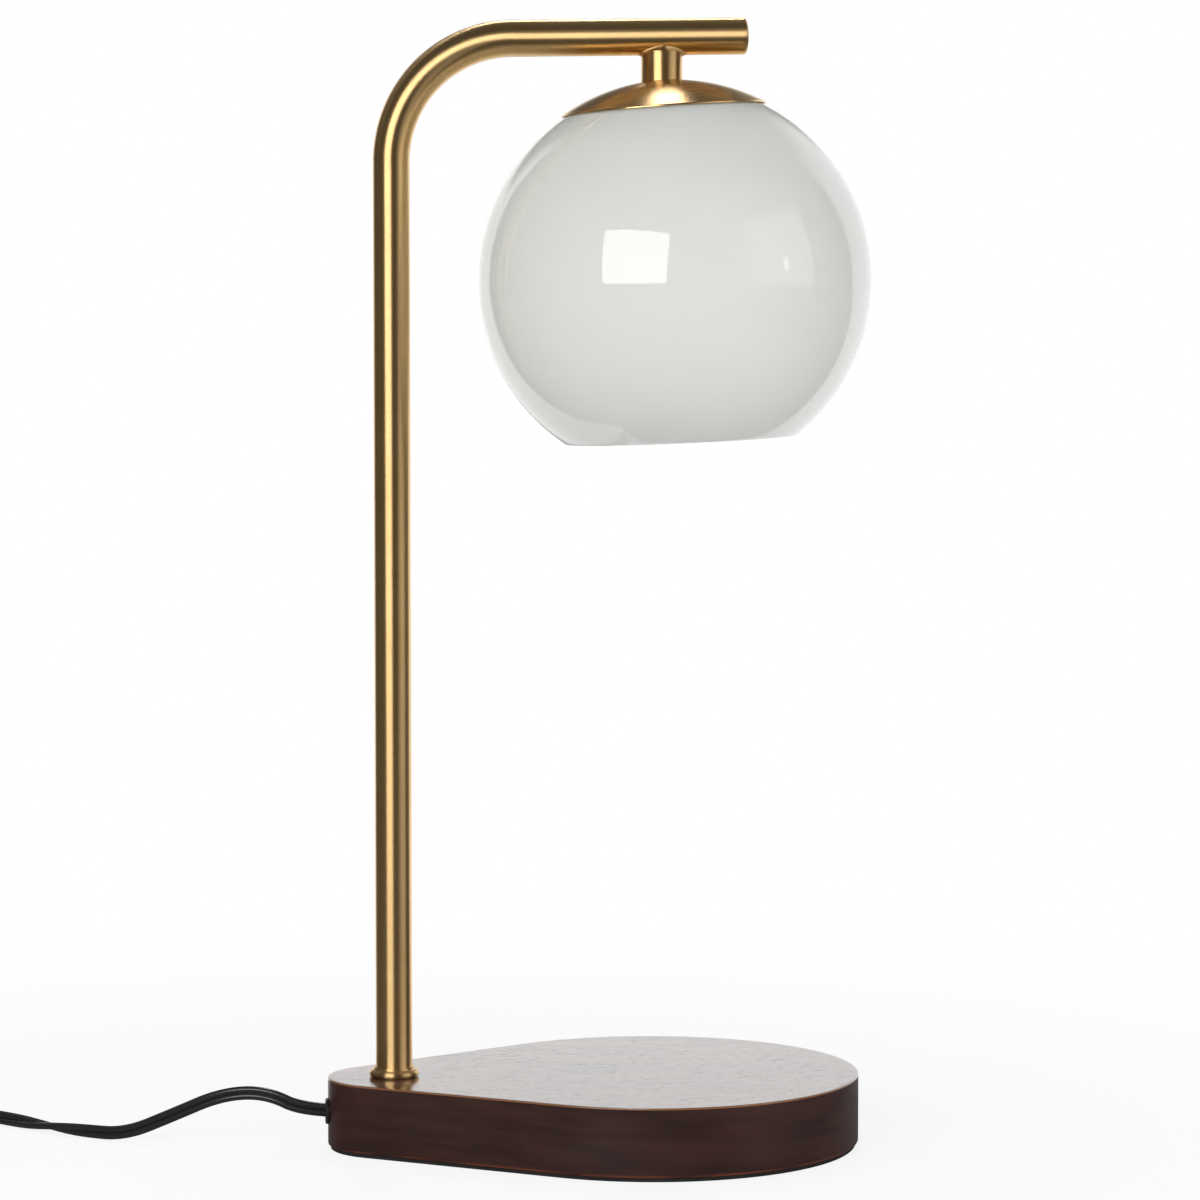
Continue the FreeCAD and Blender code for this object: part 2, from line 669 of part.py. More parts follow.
def opal_globe():
    """Blown glass ball, open below with a rounded lip, and with a neck hole under the cap."""
    middle = GLOBE_RADIUS - GLOBE_WALL / 2
    half_mouth = math.asin(MOUTH_RADIUS / middle)
    out = Vector(math.sin(half_mouth), 0, -math.cos(half_mouth))
    along = Vector(-math.cos(half_mouth), 0, -math.sin(half_mouth))
    profile = [
        arc(in_profile(0, GLOBE_RADIUS), in_profile(GLOBE_RADIUS, 0), out * GLOBE_RADIUS),
        arc(out * GLOBE_RADIUS, out * middle + along * (GLOBE_WALL / 2), out * GLOBE_INSIDE),
        arc(out * GLOBE_INSIDE, in_profile(GLOBE_INSIDE, 0), in_profile(0, GLOBE_INSIDE)),
        line(in_profile(0, GLOBE_INSIDE), in_profile(0, GLOBE_RADIUS)),
    ]
    ball = turned(profile)
    ball.rotate(ORIGIN, Y_AXIS, MOUTH_SKEW)
    ball = ball.cut(upright(NECK_HOLE_RADIUS, 0, 2 * GLOBE_RADIUS))
    ball.translate(Vector(0, 0, -GLOBE_DROP))
    return in_head(ball)


# ---------------------------------------------------------------- lampholder

def holder_cap():
    """Upper half of the lampholder: a cup with a tapped neck."""
    top = -HOLDER_TOP
    roof = top - HOLDER_CAP_WALL
    bore = PIPE_RADIUS + THREAD_GAP
    low = top - HOLDER_CAP_LENGTH
    inside = HOLDER_CAP_RADIUS - HOLDER_CAP_WALL
    return in_head(turned_through([
        (bore, top), (HOLDER_CAP_RADIUS, top), (HOLDER_CAP_RADIUS, low), (inside, low),
        (inside, roof), (HOLDER_NECK_RADIUS, roof), (HOLDER_NECK_RADIUS, top - HOLDER_NECK_LENGTH),
        (bore, top - HOLDER_NECK_LENGTH),
    ]))


def holder_skirt():
    """Lower half of the lampholder, which slips over the cap and has the ring's thread outside."""
    upper_bore = HOLDER_CAP_RADIUS + SLEEVE_GAP
    lower_bore = SHELL_RADIUS + SLEEVE_GAP
    return in_head(turned_through([
        (upper_bore, -HOLDER_SKIRT_TOP), (HOLDER_SKIRT_RADIUS, -HOLDER_SKIRT_TOP),
        (HOLDER_SKIRT_RADIUS, -HOLDER_SKIRT_BOTTOM), (lower_bore, -HOLDER_SKIRT_BOTTOM),
        (lower_bore, -HOLDER_FLOOR_BOTTOM), (HOLDER_FLOOR_HOLE, -HOLDER_FLOOR_BOTTOM),
        (HOLDER_FLOOR_HOLE, -HOLDER_FLOOR_TOP), (upper_bore, -HOLDER_FLOOR_TOP),
    ]))


def terminal_block():
    """Insulating disc on the holder's floor that carries the contacts."""
    high = -HOLDER_FLOOR_TOP + BLOCK_THICKNESS
    disc = washer(HOLDER_CAP_RADIUS, CONTACT_RADIUS / 2 + SLEEVE_GAP, -HOLDER_FLOOR_TOP, high)
    return in_head(disc)


def screw_contact():
    """Brass cup that takes the bulb's screwed cap."""
    inside = SHELL_RADIUS - SHELL_WALL
    top = -HOLDER_FLOOR_BOTTOM
    low = -HOLDER_SKIRT_BOTTOM + SHELL_LIP
    return in_head(turned_through([
        (HOLDER_FLOOR_HOLE + SHELL_LIP, top), (SHELL_RADIUS, top), (SHELL_RADIUS, low),
        (inside, low), (inside, top - SHELL_WALL), (HOLDER_FLOOR_HOLE + SHELL_LIP, top - SHELL_WALL),
    ]))


def centre_contact():
    """Brass rivet through the terminal block, its head towards the bulb."""
    return in_head(turned_through([
        (0, -HOLDER_FLOOR_TOP + BLOCK_THICKNESS), (CONTACT_RADIUS / 2, -HOLDER_FLOOR_TOP + BLOCK_THICKNESS),
        (CONTACT_RADIUS / 2, -HOLDER_FLOOR_TOP), (CONTACT_RADIUS, -HOLDER_FLOOR_TOP - CONTACT_HEAD),
        (CONTACT_RADIUS, -CONTACT_END), (0, -CONTACT_END),
    ]))


def shade_ring():
    """Clamping ring with a flange under the glass and finger hollows round its hub."""
    bore = HOLDER_SKIRT_RADIUS + RUNNING_GAP
    hub = bore + RING_HUB_WALL
    low = -RING_TOP - RING_LENGTH
    flange_low = -RING_TOP - RING_FLANGE
    ring = turned_through([
        (bore, -RING_TOP), (RING_RADIUS, -RING_TOP), (RING_RADIUS, flange_low), (hub, flange_low),
        (hub, low), (bore, low),
    ])
    grip = Part.makeCylinder(RING_GRIP_RADIUS, RING_FLANGE + 2,
                             Vector(RING_RADIUS + 0.4 * RING_GRIP_RADIUS, 0, flange_low - 1))
    return in_head(ring.cut(round_copies(grip, RING_GRIPS)))


# ---------------------------------------------------------------- bulb

def bulb_envelope():
    """Thin glass tube with a round end, its neck inside the screwed cap."""
    neck = BULB_CAP_RADIUS - BULB_CAP_WALL - SLEEVE_GAP
    start = -BULB_TOP - BULB_TIP_HEIGHT - BULB_INSULATOR_HEIGHT - BULB_CAP_LENGTH / 2
    wide = -BULB_TOP - BULB_TIP_HEIGHT - BULB_INSULATOR_HEIGHT - BULB_CAP_LENGTH
    full = wide - BULB_NECK_RISE
    end = -BULB_TOP - BULB_LENGTH
    turn = end + BULB_RADIUS
    inside = BULB_RADIUS - BULB_WALL
    slant = math.sqrt(0.5)

    def shoulder(offset):
        low = in_profile(neck - offset, wide)
        high = in_profile(BULB_RADIUS - offset, full)
        between = in_profile((low.x + high.x) / 2 + 0.5, (low.z + high.z) / 2)
        return low, between, high

    outer_low, outer_mid, outer_high = shoulder(0)
    inner_low, inner_mid, inner_high = shoulder(BULB_WALL)
    profile = [
        line(in_profile(neck, start), outer_low),
        arc(outer_low, outer_mid, outer_high),
        line(outer_high, in_profile(BULB_RADIUS, turn)),
        arc(in_profile(BULB_RADIUS, turn),
            in_profile(BULB_RADIUS * slant, turn - BULB_RADIUS * slant), in_profile(0, end)),
        line(in_profile(0, end), in_profile(0, end + BULB_WALL)),
        arc(in_profile(0, end + BULB_WALL),
            in_profile(inside * slant, turn - inside * slant), in_profile(inside, turn)),
        line(in_profile(inside, turn), inner_high),
        arc(inner_high, inner_mid, inner_low),
        line(inner_low, in_profile(neck - BULB_WALL, start)),
        line(in_profile(neck - BULB_WALL, start), in_profile(neck, start)),
    ]
    return in_head(turned(profile))


def bulb_cap():
    """Screwed metal cap of the bulb, open where the glass goes in."""
    top = -BULB_TOP - BULB_TIP_HEIGHT - BULB_INSULATOR_HEIGHT
    inside = BULB_CAP_RADIUS - BULB_CAP_WALL
    low = top - BULB_CAP_LENGTH
    return in_head(turned_through([
        (BULB_INSULATOR_TOP, top), (BULB_CAP_RADIUS, top - 1), (BULB_CAP_RADIUS, low),
        (inside, low), (inside, top - 1 - BULB_CAP_WALL), (BULB_INSULATOR_TOP, top - BULB_CAP_WALL),
    ]))


def bulb_insulator():
    """Dark glass ring between the cap and the tip."""
    top = -BULB_TOP - BULB_TIP_HEIGHT
    low = top - BULB_INSULATOR_HEIGHT
    return in_head(turned_through([
        (0, top), (BULB_TIP_RADIUS, top), (BULB_INSULATOR_TOP, low),
        (BULB_INSULATOR_TOP, low - BULB_CAP_WALL), (0, low - BULB_CAP_WALL),
    ]))


def bulb_tip():
    """Solder contact on the bulb's end."""
    low = -BULB_TOP - BULB_TIP_HEIGHT
    foot = in_profile(0, low)
    rim = in_profile(BULB_TIP_RADIUS, low)
    crown = dome(BULB_TIP_RADIUS, low, BULB_TIP_HEIGHT)
    return in_head(turned([line(foot, rim), crown, line(in_profile(0, -BULB_TOP), foot)]))


# ---------------------------------------------------------------- wires

def supply_wires():
    """The pair of wires from the cord's end, up the post, along the arm and down to the holder."""
    down = Rotation(Y_AXIS, -HEAD_TILT).multVec(Z_AXIS)
    rise = SEAT_BELOW_ARM / down.z
    turn_down = SEAT + down * rise
    turn_down.z = CROSSING_HEIGHT + turn_down.x * math.tan(math.radians(ARM_RISE))
    end = SEAT - down * (HOLDER_FLOOR_TOP - BLOCK_THICKNESS - WIRE_SHORT_OF_BLOCK)
    turn = math.radians(90 - ARM_RISE)
    reach = BEND_RADIUS * math.tan(turn / 2)
    first = CROSSING - Z_AXIS * reach
    last = CROSSING + ARM_WAY * reach
    middle = first + X_AXIS * BEND_RADIUS + Vector(
        -math.cos(turn / 2), 0, math.sin(turn / 2)) * BEND_RADIUS
    lower, _ = route_wire([
        Vector(-CORD_START, 0, EXIT_HEIGHT),
        Vector(-CORD_START + WIRE_LEVEL_RUN, 0, EXIT_HEIGHT),
        Vector(-WIRE_LOW_REACH, 0, WIRE_LOW_POINT + WIRE_LOW_RISE),
        Vector(0, 0, WIRE_LOW_POINT),
        Vector(0, 0, BASE_HEIGHT),
    ])
    upper, _ = route_wire([last, turn_down, SEAT, end])
    edges = lower.OrderedEdges + [line(Vector(0, 0, BASE_HEIGHT), first), arc(first, middle, last)]
    return tube_along(Part.Wire(edges + upper.OrderedEdges), WIRE_RADIUS)


# ---------------------------------------------------------------- cord, switch and plug

def cord_lead():
    return cord_along("cord_lead", CORD_TO_SWITCH)


def cord_tail():
    return cord_along("cord_tail", CORD_TO_COIL)


def cord_coil():
    """The outer shape of the wound-up length: a ring with rounded edges."""
    inner = COIL_MIDDLE_RADIUS - COIL_BUILD / 2
    outer = COIL_MIDDLE_RADIUS + COIL_BUILD / 2
    ring = washer(outer, inner, 0, COIL_HEIGHT)
    soft = ring.makeFillet(CORD_RADIUS, [e for e in ring.Edges if e.Closed])
    return placed(soft, COIL_CENTRE, Rotation())


def plug_lead():
    return cord_along("plug_lead", CORD_TO_PLUG)


def in_switch(shape):
    """Moves a piece modelled about the switch's middle to where the switch lies."""
    return placed(shape, SWITCH_CENTRE, Rotation())


def switch_half(low, high):
    """One half of the switch's housing, wide in the middle, with its outer edge rounded."""
    half_length = SWITCH_LENGTH / 2
    half_width = SWITCH_WIDTH / 2
    half_end = SWITCH_END_WIDTH / 2
    near = [Vector(half_length, half_end, low), Vector(-half_length, half_end, low)]
    far = [Vector(-half_length, -half_end, low), Vector(half_length, -half_end, low)]
    outline = Part.Wire([
        arc(near[0], Vector(0, half_width, low), near[1]),
        line(near[1], far[0]),
        arc(far[0], Vector(0, -half_width, low), far[1]),
        line(far[1], near[0]),
    ])
    body = Part.Face(outline).extrude(Vector(0, 0, high - low))
    outside = low if low < 0 else high
    posts = [e for e in body.Edges if abs(e.BoundBox.ZLength - (high - low)) < 0.01]
    body = body.makeFillet(SWITCH_EDGE, posts)
    rim = [e for e in body.Edges
           if abs(e.BoundBox.ZMin - outside) < 0.01 and e.BoundBox.ZLength < 0.01]
    body = body.makeFillet(0.7 * SWITCH_EDGE, rim)
    room = DIAL_THICKNESS / 2 + DIAL_GAP
    channel = Part.makeCylinder(CORD_SLEEVE, SWITCH_LENGTH, Vector(-half_length, 0, 0), X_AXIS)
    web = Part.makeBox(2 * (half_length - CORD_IN_SWITCH), SWITCH_WIDTH, SWITCH_HEIGHT,
                       Vector(-half_length + CORD_IN_SWITCH, -half_width, -SWITCH_HEIGHT / 2))
    return body.cut([
        upright(DIAL_RADIUS + DIAL_RIDGE_RADIUS + DIAL_GAP, -room, room),
        channel.cut(web),
        switch_axle_bar(0),
    ] + [switch_screw(side, 0) for side in (-1, 1)])


def switch_axle_bar(gap):
    return upright(AXLE_RADIUS + gap, -AXLE_LENGTH / 2, AXLE_LENGTH / 2)


def switch_screw(side, gap):
    """A small screw up through the lower half into the upper."""
    low = -SWITCH_HEIGHT / 2
    place = Vector(side * SWITCH_SCREW_REACH, 0, low)
    shank = Part.makeCylinder(SWITCH_SCREW_RADIUS + gap, SWITCH_SCREW_LENGTH, place)
    head = Part.makeCylinder(SWITCH_SCREW_HEAD + gap, SWITCH_SCREW_HEAD_HEIGHT, place)
    return shank.fuse(head).removeSplitter()


def switch_lower():
    return in_switch(switch_half(-SWITCH_HEIGHT / 2, 0))


def switch_upper():
    return in_switch(switch_half(0, SWITCH_HEIGHT / 2))


def switch_axle():
    return in_switch(switch_axle_bar(0))


def switch_screws():
    return in_switch(Part.makeCompound([switch_screw(side, 0) for side in (-1, 1)]))


def switch_dial():
    """Ridged wheel that sticks out at both sides of the housing."""
    half = DIAL_THICKNESS / 2
    wheel = washer(DIAL_RADIUS, AXLE_RADIUS + RUNNING_GAP, -half, half)
    ridge = Part.makeCylinder(DIAL_RIDGE_RADIUS, DIAL_THICKNESS, Vector(DIAL_RADIUS, 0, -half))
    return in_switch(wheel.fuse(round_copies(ridge, DIAL_RIDGES)).removeSplitter())


def rounded_rectangle(width, height, corner, at):
    """A closed outline in the YZ plane at a distance along X."""
    across = width / 2
    up = height / 2
    slant = corner * (1 - math.sqrt(0.5))
    edges = []
    corners = [(1, 1), (-1, 1), (-1, -1), (1, -1)]
    for index, (side, level) in enumerate(corners):
        first = Vector(at, side * across, level * (up - corner))
        middle = Vector(at, side * (across - slant), level * (up - slant))
        last = Vector(at, side * (across - corner), level * up)
        if index % 2:
            first, last = last, first
        edges.append(arc(first, middle, last))
    ends = [(e.Vertexes[0].Point, e.Vertexes[-1].Point) for e in edges]
    runs = [line(ends[i][1], ends[(i + 1) % 4][0]) for i in range(4)]
    return Part.Wire([edge for pair in zip(edges, runs) for edge in pair])


def at_plug(shape):
    """Moves a piece modelled along +X from the cord's end to where the plug lies."""
    return placed(shape, PLUG_REAR, Rotation())


def blades(gap=0.0):
    """Two flat blades side by side, the second the wider one."""
    front = PLUG_TAIL_LENGTH + PLUG_LENGTH
    pair = []
    for side, width in zip((-1, 1), BLADE_WIDTHS):
        corner = Vector(front - BLADE_ROOT, side * BLADE_SPACING / 2 - BLADE_THICKNESS / 2 - gap,
                        -width / 2 - gap)
        blade = Part.makeBox(BLADE_ROOT + BLADE_LENGTH, BLADE_THICKNESS + 2 * gap,
                             width + 2 * gap, corner)
        hole = Part.makeCylinder(
            BLADE_HOLE_RADIUS, 2 * BLADE_SPACING,
            Vector(front + BLADE_LENGTH - BLADE_HOLE_FROM_TIP, -BLADE_SPACING, 0), Y_AXIS)
        pair.append(blade.cut(hole))
    return Part.makeCompound(pair)


def plug_body():
    """Moulded plug: a tapered cord sleeve that grows into a rounded grip with a flat face."""
    start = PLUG_TAIL_LENGTH
    grip = Part.makeLoft([
        rounded_rectangle(PLUG_REAR_WIDTH, PLUG_REAR_HEIGHT, PLUG_CORNER, start),
        rounded_rectangle(0.9 * PLUG_WIDTH, 0.92 * PLUG_HEIGHT, PLUG_CORNER, start + 0.55 * PLUG_LENGTH),
        rounded_rectangle(PLUG_WIDTH, PLUG_HEIGHT, PLUG_CORNER, start + PLUG_LENGTH),
    ], True, True)
    sleeve = Part.makeCone(PLUG_TAIL_RADIUS - 0.4, PLUG_TAIL_RADIUS, start, ORIGIN, X_AXIS)
    return at_plug(grip.fuse(sleeve).cut(blades()))


def plug_blades():
    return at_plug(blades())


# ---------------------------------------------------------------- export

PIECES = [
    base_block, top_veneer, bottom_pad, base_weight, weight_screws, cord_bushing,
    foot_pipe, foot_washer, lock_washer, foot_nut, foot_insert, foot_collar,
    arm_tube, arm_end_plug, saddle_bead, stem,
    head_pipe, shade_cap, cap_nut, opal_globe,
    holder_cap, holder_skirt, terminal_block, screw_contact, centre_contact, shade_ring,
    bulb_envelope, bulb_cap, bulb_insulator, bulb_tip, supply_wires,
    cord_lead, cord_tail, cord_coil, plug_lead,
    switch_lower, switch_upper, switch_axle, switch_screws, switch_dial, plug_body, plug_blades,
]


def main():
    os.makedirs("parts", exist_ok=True)
    for piece in PIECES:
        shape = piece()
        if not shape.isValid():
            print("not valid:", piece.__name__)
        print(piece.__name__, len(shape.Solids), "solid", round(shape.Volume, 1))
        shape.exportStep("parts/" + piece.__name__ + ".step")


main()
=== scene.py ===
"""Looks of the table lamp: smooth skins, finishes, cords, floor, lights and camera.

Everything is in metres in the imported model's frame: the origin is on the table under the post's axis,
+X points along the arm to the globe, +Y away from the front and +Z up.
"""
import logging
import math
from collections.abc import Sequence
from dataclasses import dataclass
from enum import Enum

import bmesh
import bpy
import numpy as np
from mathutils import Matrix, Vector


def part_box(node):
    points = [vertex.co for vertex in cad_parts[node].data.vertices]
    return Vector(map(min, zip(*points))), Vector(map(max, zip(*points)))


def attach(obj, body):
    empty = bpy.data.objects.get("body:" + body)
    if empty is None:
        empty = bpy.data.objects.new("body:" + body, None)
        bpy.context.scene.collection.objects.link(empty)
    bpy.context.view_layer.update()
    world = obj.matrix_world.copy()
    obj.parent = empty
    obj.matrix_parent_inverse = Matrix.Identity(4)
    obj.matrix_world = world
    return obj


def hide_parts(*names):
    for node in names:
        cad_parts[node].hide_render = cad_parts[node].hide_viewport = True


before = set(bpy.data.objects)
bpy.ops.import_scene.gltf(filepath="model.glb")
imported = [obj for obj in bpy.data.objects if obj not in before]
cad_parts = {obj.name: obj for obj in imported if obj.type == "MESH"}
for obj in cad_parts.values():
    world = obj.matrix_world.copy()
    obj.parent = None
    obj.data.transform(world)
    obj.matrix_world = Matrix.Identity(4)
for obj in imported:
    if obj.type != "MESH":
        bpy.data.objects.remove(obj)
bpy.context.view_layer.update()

LOG = logging.getLogger("lamp")
MM = 0.001
ROUND = 128  # points round a turned piece
FINE_ROUND = 180  # points round the globe and the cap
COARSE_ROUND = 96  # points round the bulb and the floor
MOST = (0.3, 0.7)  # most of a noise's values lie between these
SHARP_ANGLE = 38.0  # degrees between faces from which an edge is drawn sharp
STEM_REACH = 117.9 * MM  # the head's axis from the post's
SEAT_HEIGHT = 465.858 * MM  # the stem's lower end
HEAD_TILT = 4.0  # degrees by which the head leans back towards the post
Point = tuple[float, float, float]
Span = tuple[float, float]
Colour = Point
Material = bpy.types.Material
Socket = bpy.types.NodeSocket
Finishes = dict[str, Material]
Inputs = dict[str, object]
Array = np.ndarray


# ---- surfaces


def arc(centre: Sequence[float], radius: float, start: float, end: float, count: int) -> Array:
    """Points on a circle at equal steps from start to end, in degrees from across towards up."""
    angle = np.radians(np.linspace(start, end, count))
    return np.asarray(centre) + radius * np.column_stack((np.cos(angle), np.sin(angle)))


def eased(share: Array) -> Array:
    """A share s from 0 to 1 made to leave 0 and reach 1 level: 3 s^2 - 2 s^3."""
    return share**2 * (3 - 2 * share)


def turned(profile: Array, count: int = ROUND) -> Array:
    """A profile turned about the Z axis: x = r cos(t), y = r sin(t), z = height.

    Args:
        profile: radius and height of each point.
        count: steps of t round the circle.

    Returns:
        A grid along the profile and then round it.
    """
    angle = np.linspace(0, 2 * np.pi, count, endpoint=False)
    radius, height = profile[:, :1], profile[:, 1:]
    return np.stack((radius * np.cos(angle), radius * np.sin(angle), height + 0 * angle), axis=2)


def leaned(points: Array, angle: float | Array) -> Array:
    """Points turned from +Z towards +X: x' = x cos(a) + z sin(a), z' = z cos(a) - x sin(a)."""
    (x, y, z), cosine, sine = np.moveaxis(points, -1, 0), np.cos(angle), np.sin(angle)
    return np.stack((x * cosine + z * sine, y, z * cosine - x * sine), axis=-1)


def from_pole(radius: float, ball: float) -> float:
    """Degrees from a ball's pole to the circle of that radius on it."""
    return math.degrees(math.asin(radius / ball))


def placed(points: Array, origin: Point, lean: float) -> Array:
    """Points made about the Z axis, turned by degrees from +Z towards +X and moved to the origin."""
    return leaned(points, math.radians(lean)) + origin


def carried(section: Array, path: Array, across: Array, up: Array) -> Array:
    """A section carried along a path: each point is path + s0 * across + s1 * up."""
    return path[:, None] + section[:, :1] * across[:, None] + section[:, 1:] * up[:, None]


def capped(rows: Array, first: Sequence[float], last: Sequence[float]) -> Array:
    """A grid with one point all round before its first row, and another after its last."""
    ends = [np.broadcast_to(point, (1, *rows.shape[1:])) for point in (first, last)]
    return np.concatenate((ends[0], rows, ends[1]))


def linked(name: str, data: bpy.types.ID) -> bpy.types.Object:
    """A new object with that data, in the scene."""
    thing = bpy.data.objects.new(name, data)
    bpy.context.scene.collection.objects.link(thing)
    return thing


class Slot(Enum):
    """The record's material slots, one named with each new piece."""

    WOOD = "wood_core"
    VENEER = "wood_veneer"
    PAD = "foam_pad"
    BRASS = "brushed_brass"
    OPAL = "opal_glass"
    BULB_GLASS = "frosted_glass"
    PLAIN_BRASS = "plain_brass"
    VINYL = "black_vinyl"


def skin(name: str, points: Array, material: Material, closed: bool = False) -> bpy.types.Object:
    """Makes a closed, smooth piece from a grid whose second direction runs round.

    Rows that shrink to one point become poles. The UV map holds metres along and the share round.

    Args:
        name: the piece's name.
        points: the grid.
        material: its finish.
        closed: whether the last row joins the first.

    Returns:
        The piece, at the origin.
    """
    rows, around = points.shape[:2]
    i, j = np.meshgrid(np.arange(rows if closed else rows - 1), np.arange(around), indexing="ij")
    i, j = i.ravel(), j.ravel()
    ahead, beside = (i + 1) % rows, (j + 1) % around
    near, far = i * around, ahead * around
    faces = np.column_stack((near + j, far + j, far + beside, near + beside))
    mesh = bpy.data.meshes.new(name)
    mesh.from_pydata(points.reshape(-1, 3), [], faces)
    steps = np.linalg.norm(np.diff(points, axis=0, append=points[:1]), axis=2).max(axis=1)
    along = np.concatenate(([0.0], np.cumsum(steps)))
    u = np.stack((along[i], along[i + 1], along[i + 1], along[i]), axis=1)
    v = np.stack((j, j, j + 1, j + 1), axis=1) / around
    mesh.uv_layers.new(name="UVMap").data.foreach_set("uv", np.stack((u, v), axis=2).ravel())
    work = bmesh.new()
    work.from_mesh(mesh)
    bmesh.ops.remove_doubles(work, verts=work.verts, dist=1e-7)
    bmesh.ops.dissolve_degenerate(work, edges=work.edges, dist=1e-8)
    bmesh.ops.recalc_face_normals(work, faces=work.faces)
    work.to_mesh(mesh)
    work.free()
    mesh.polygons.foreach_set("use_smooth", np.ones(len(mesh.polygons), bool))
    mesh.set_sharp_from_angle(angle=math.radians(SHARP_ANGLE))
    mesh.materials.append(material)
    return linked(name, mesh)


def fit(piece: bpy.types.Object, body: str, slot: Slot, *nodes: str) -> None:
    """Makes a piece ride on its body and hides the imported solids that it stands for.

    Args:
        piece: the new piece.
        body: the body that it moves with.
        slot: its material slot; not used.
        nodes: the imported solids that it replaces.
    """
    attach(piece, body)
    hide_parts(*nodes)


# ---- finishes


class Graph:
    """A material's nodes, with short ways to add and join them."""

    def __init__(self, name: str, holder: bpy.types.World | None = None) -> None:
        """Starts an empty material of that name, or empties the holder's nodes."""
        self.material = holder or bpy.data.materials.new(name)
        self.material.use_nodes = True
        self.tree = self.material.node_tree
        self.tree.nodes.clear()

    def add(self, kind: str, inputs: dict | None = None, **settings: object) -> bpy.types.Node:
        """Adds a node.

        Args:
            kind: its type without the leading ShaderNode.
            inputs: socket names or numbers with a value, or an output to link.
            settings: the node's own properties.

        Returns:
            The node.
        """
        node = self.tree.nodes.new("ShaderNode" + kind)
        for key, value in settings.items():
            setattr(node, key, value)
        for key, value in (inputs or {}).items():
            if isinstance(value, Socket):
                self.tree.links.new(value, node.inputs[key])
            else:
                node.inputs[key].default_value = value
        return node

    def coordinates(self, scale: Sequence[float] = (1, 1, 1), kind: str = "Object") -> Socket:
        """Object coordinates or the UV map, scaled along each direction."""
        source = self.add("TexCoord").outputs[kind]
        return self.add("Mapping", {"Vector": source, "Scale": scale}).outputs["Vector"]

    def noise(self, scale: float | Point, detail: float, kind: str = "Object") -> Socket:
        """A cloud of values between 0 and 1, scaled alike or along each direction."""
        each, scale = (scale, 1) if isinstance(scale, tuple) else ((1, 1, 1), scale)
        inputs = {"Vector": self.coordinates(each, kind), "Scale": scale, "Detail": detail}
        return self.add("TexNoise", inputs).outputs[0]

    def ramp(self, value: Socket, low: float, high: float, to_low: float = 0.0,
             to_high: float = 1.0) -> Socket:
        """Maps values between low and high smoothly to values between to_low and to_high."""
        return self.add("MapRange", {"Value": value, 1: low, 2: high, 3: to_low, 4: to_high},
                        interpolation_type="SMOOTHSTEP").outputs[0]

    def parts(self, vector: Socket) -> bpy.types.NodeOutputs:
        """A vector's X, Y and Z."""
        return self.add("SeparateXYZ", {0: vector}).outputs

    def height(self) -> Socket:
        """The Z of the object's coordinates."""
        return self.parts(self.coordinates())["Z"]

    def maths(self, operation: str, *values: object) -> Socket:
        """The result of one arithmetic operation on values or outputs."""
        return self.add("Math", dict(enumerate(values)), operation=operation).outputs[0]

    def product(self, first: Socket, second: Socket) -> Socket:
        """One value times the other."""
        return self.maths("MULTIPLY", first, second)

    def between(self, share: Socket, first: object, second: object) -> Socket:
        """A value between two: the first at share 0 and the second at share 1."""
        return self.add("Mix", {0: share, 2: first, 3: second}).outputs[0]

    def window(self, value: Socket, rise: Sequence[float], fall: Sequence[float]) -> Socket:
        """1 between two soft edges and 0 outside them."""
        return self.product(self.ramp(value, *rise), self.ramp(value, *fall, 1.0, 0.0))

    def blend(self, share: Socket, first: object, second: object) -> Socket:
        """A colour between two, each a colour or an output."""
        colours = [c if isinstance(c, Socket) else (*c, 1.0) for c in (first, second)]
        mix = self.add("Mix", {0: share, 6: colours[0], 7: colours[1]}, data_type="RGBA")
        return mix.outputs[2]

    def bump(self, height: Socket, depth: float, strength: float = 1.0) -> Socket:
        """A normal bent by a height that is depth metres at value 1."""
        inputs = {"Height": height, "Distance": depth, "Strength": strength}
        return self.add("Bump", inputs).outputs["Normal"]

    def finish(self, inputs: Inputs) -> Material:
        """Joins one principled shader to the output and returns the material."""
        named = {}
        for key, value in inputs.items():
            flat_colour = key == "base_color" and isinstance(value, tuple)
            title = key.replace("_", " ").title().replace("Ior", "IOR")
            named[title] = (*value, 1.0) if flat_colour else value
        self.add("OutputMaterial", {"Surface": self.add("BsdfPrincipled", named).outputs[0]})
        return self.material


@dataclass(frozen=True)
class Finish:
    """A material by its name. Counts of marks are to the metre, and depths in metres."""

    name: str

    def inputs(self, graph: Graph) -> Inputs:
        """The principled shader's inputs, each with its name in small letters."""
        raise NotImplementedError

    def build(self) -> Material:
        """Makes the material."""
        graph = Graph(self.name)
        return graph.finish(self.inputs(graph))


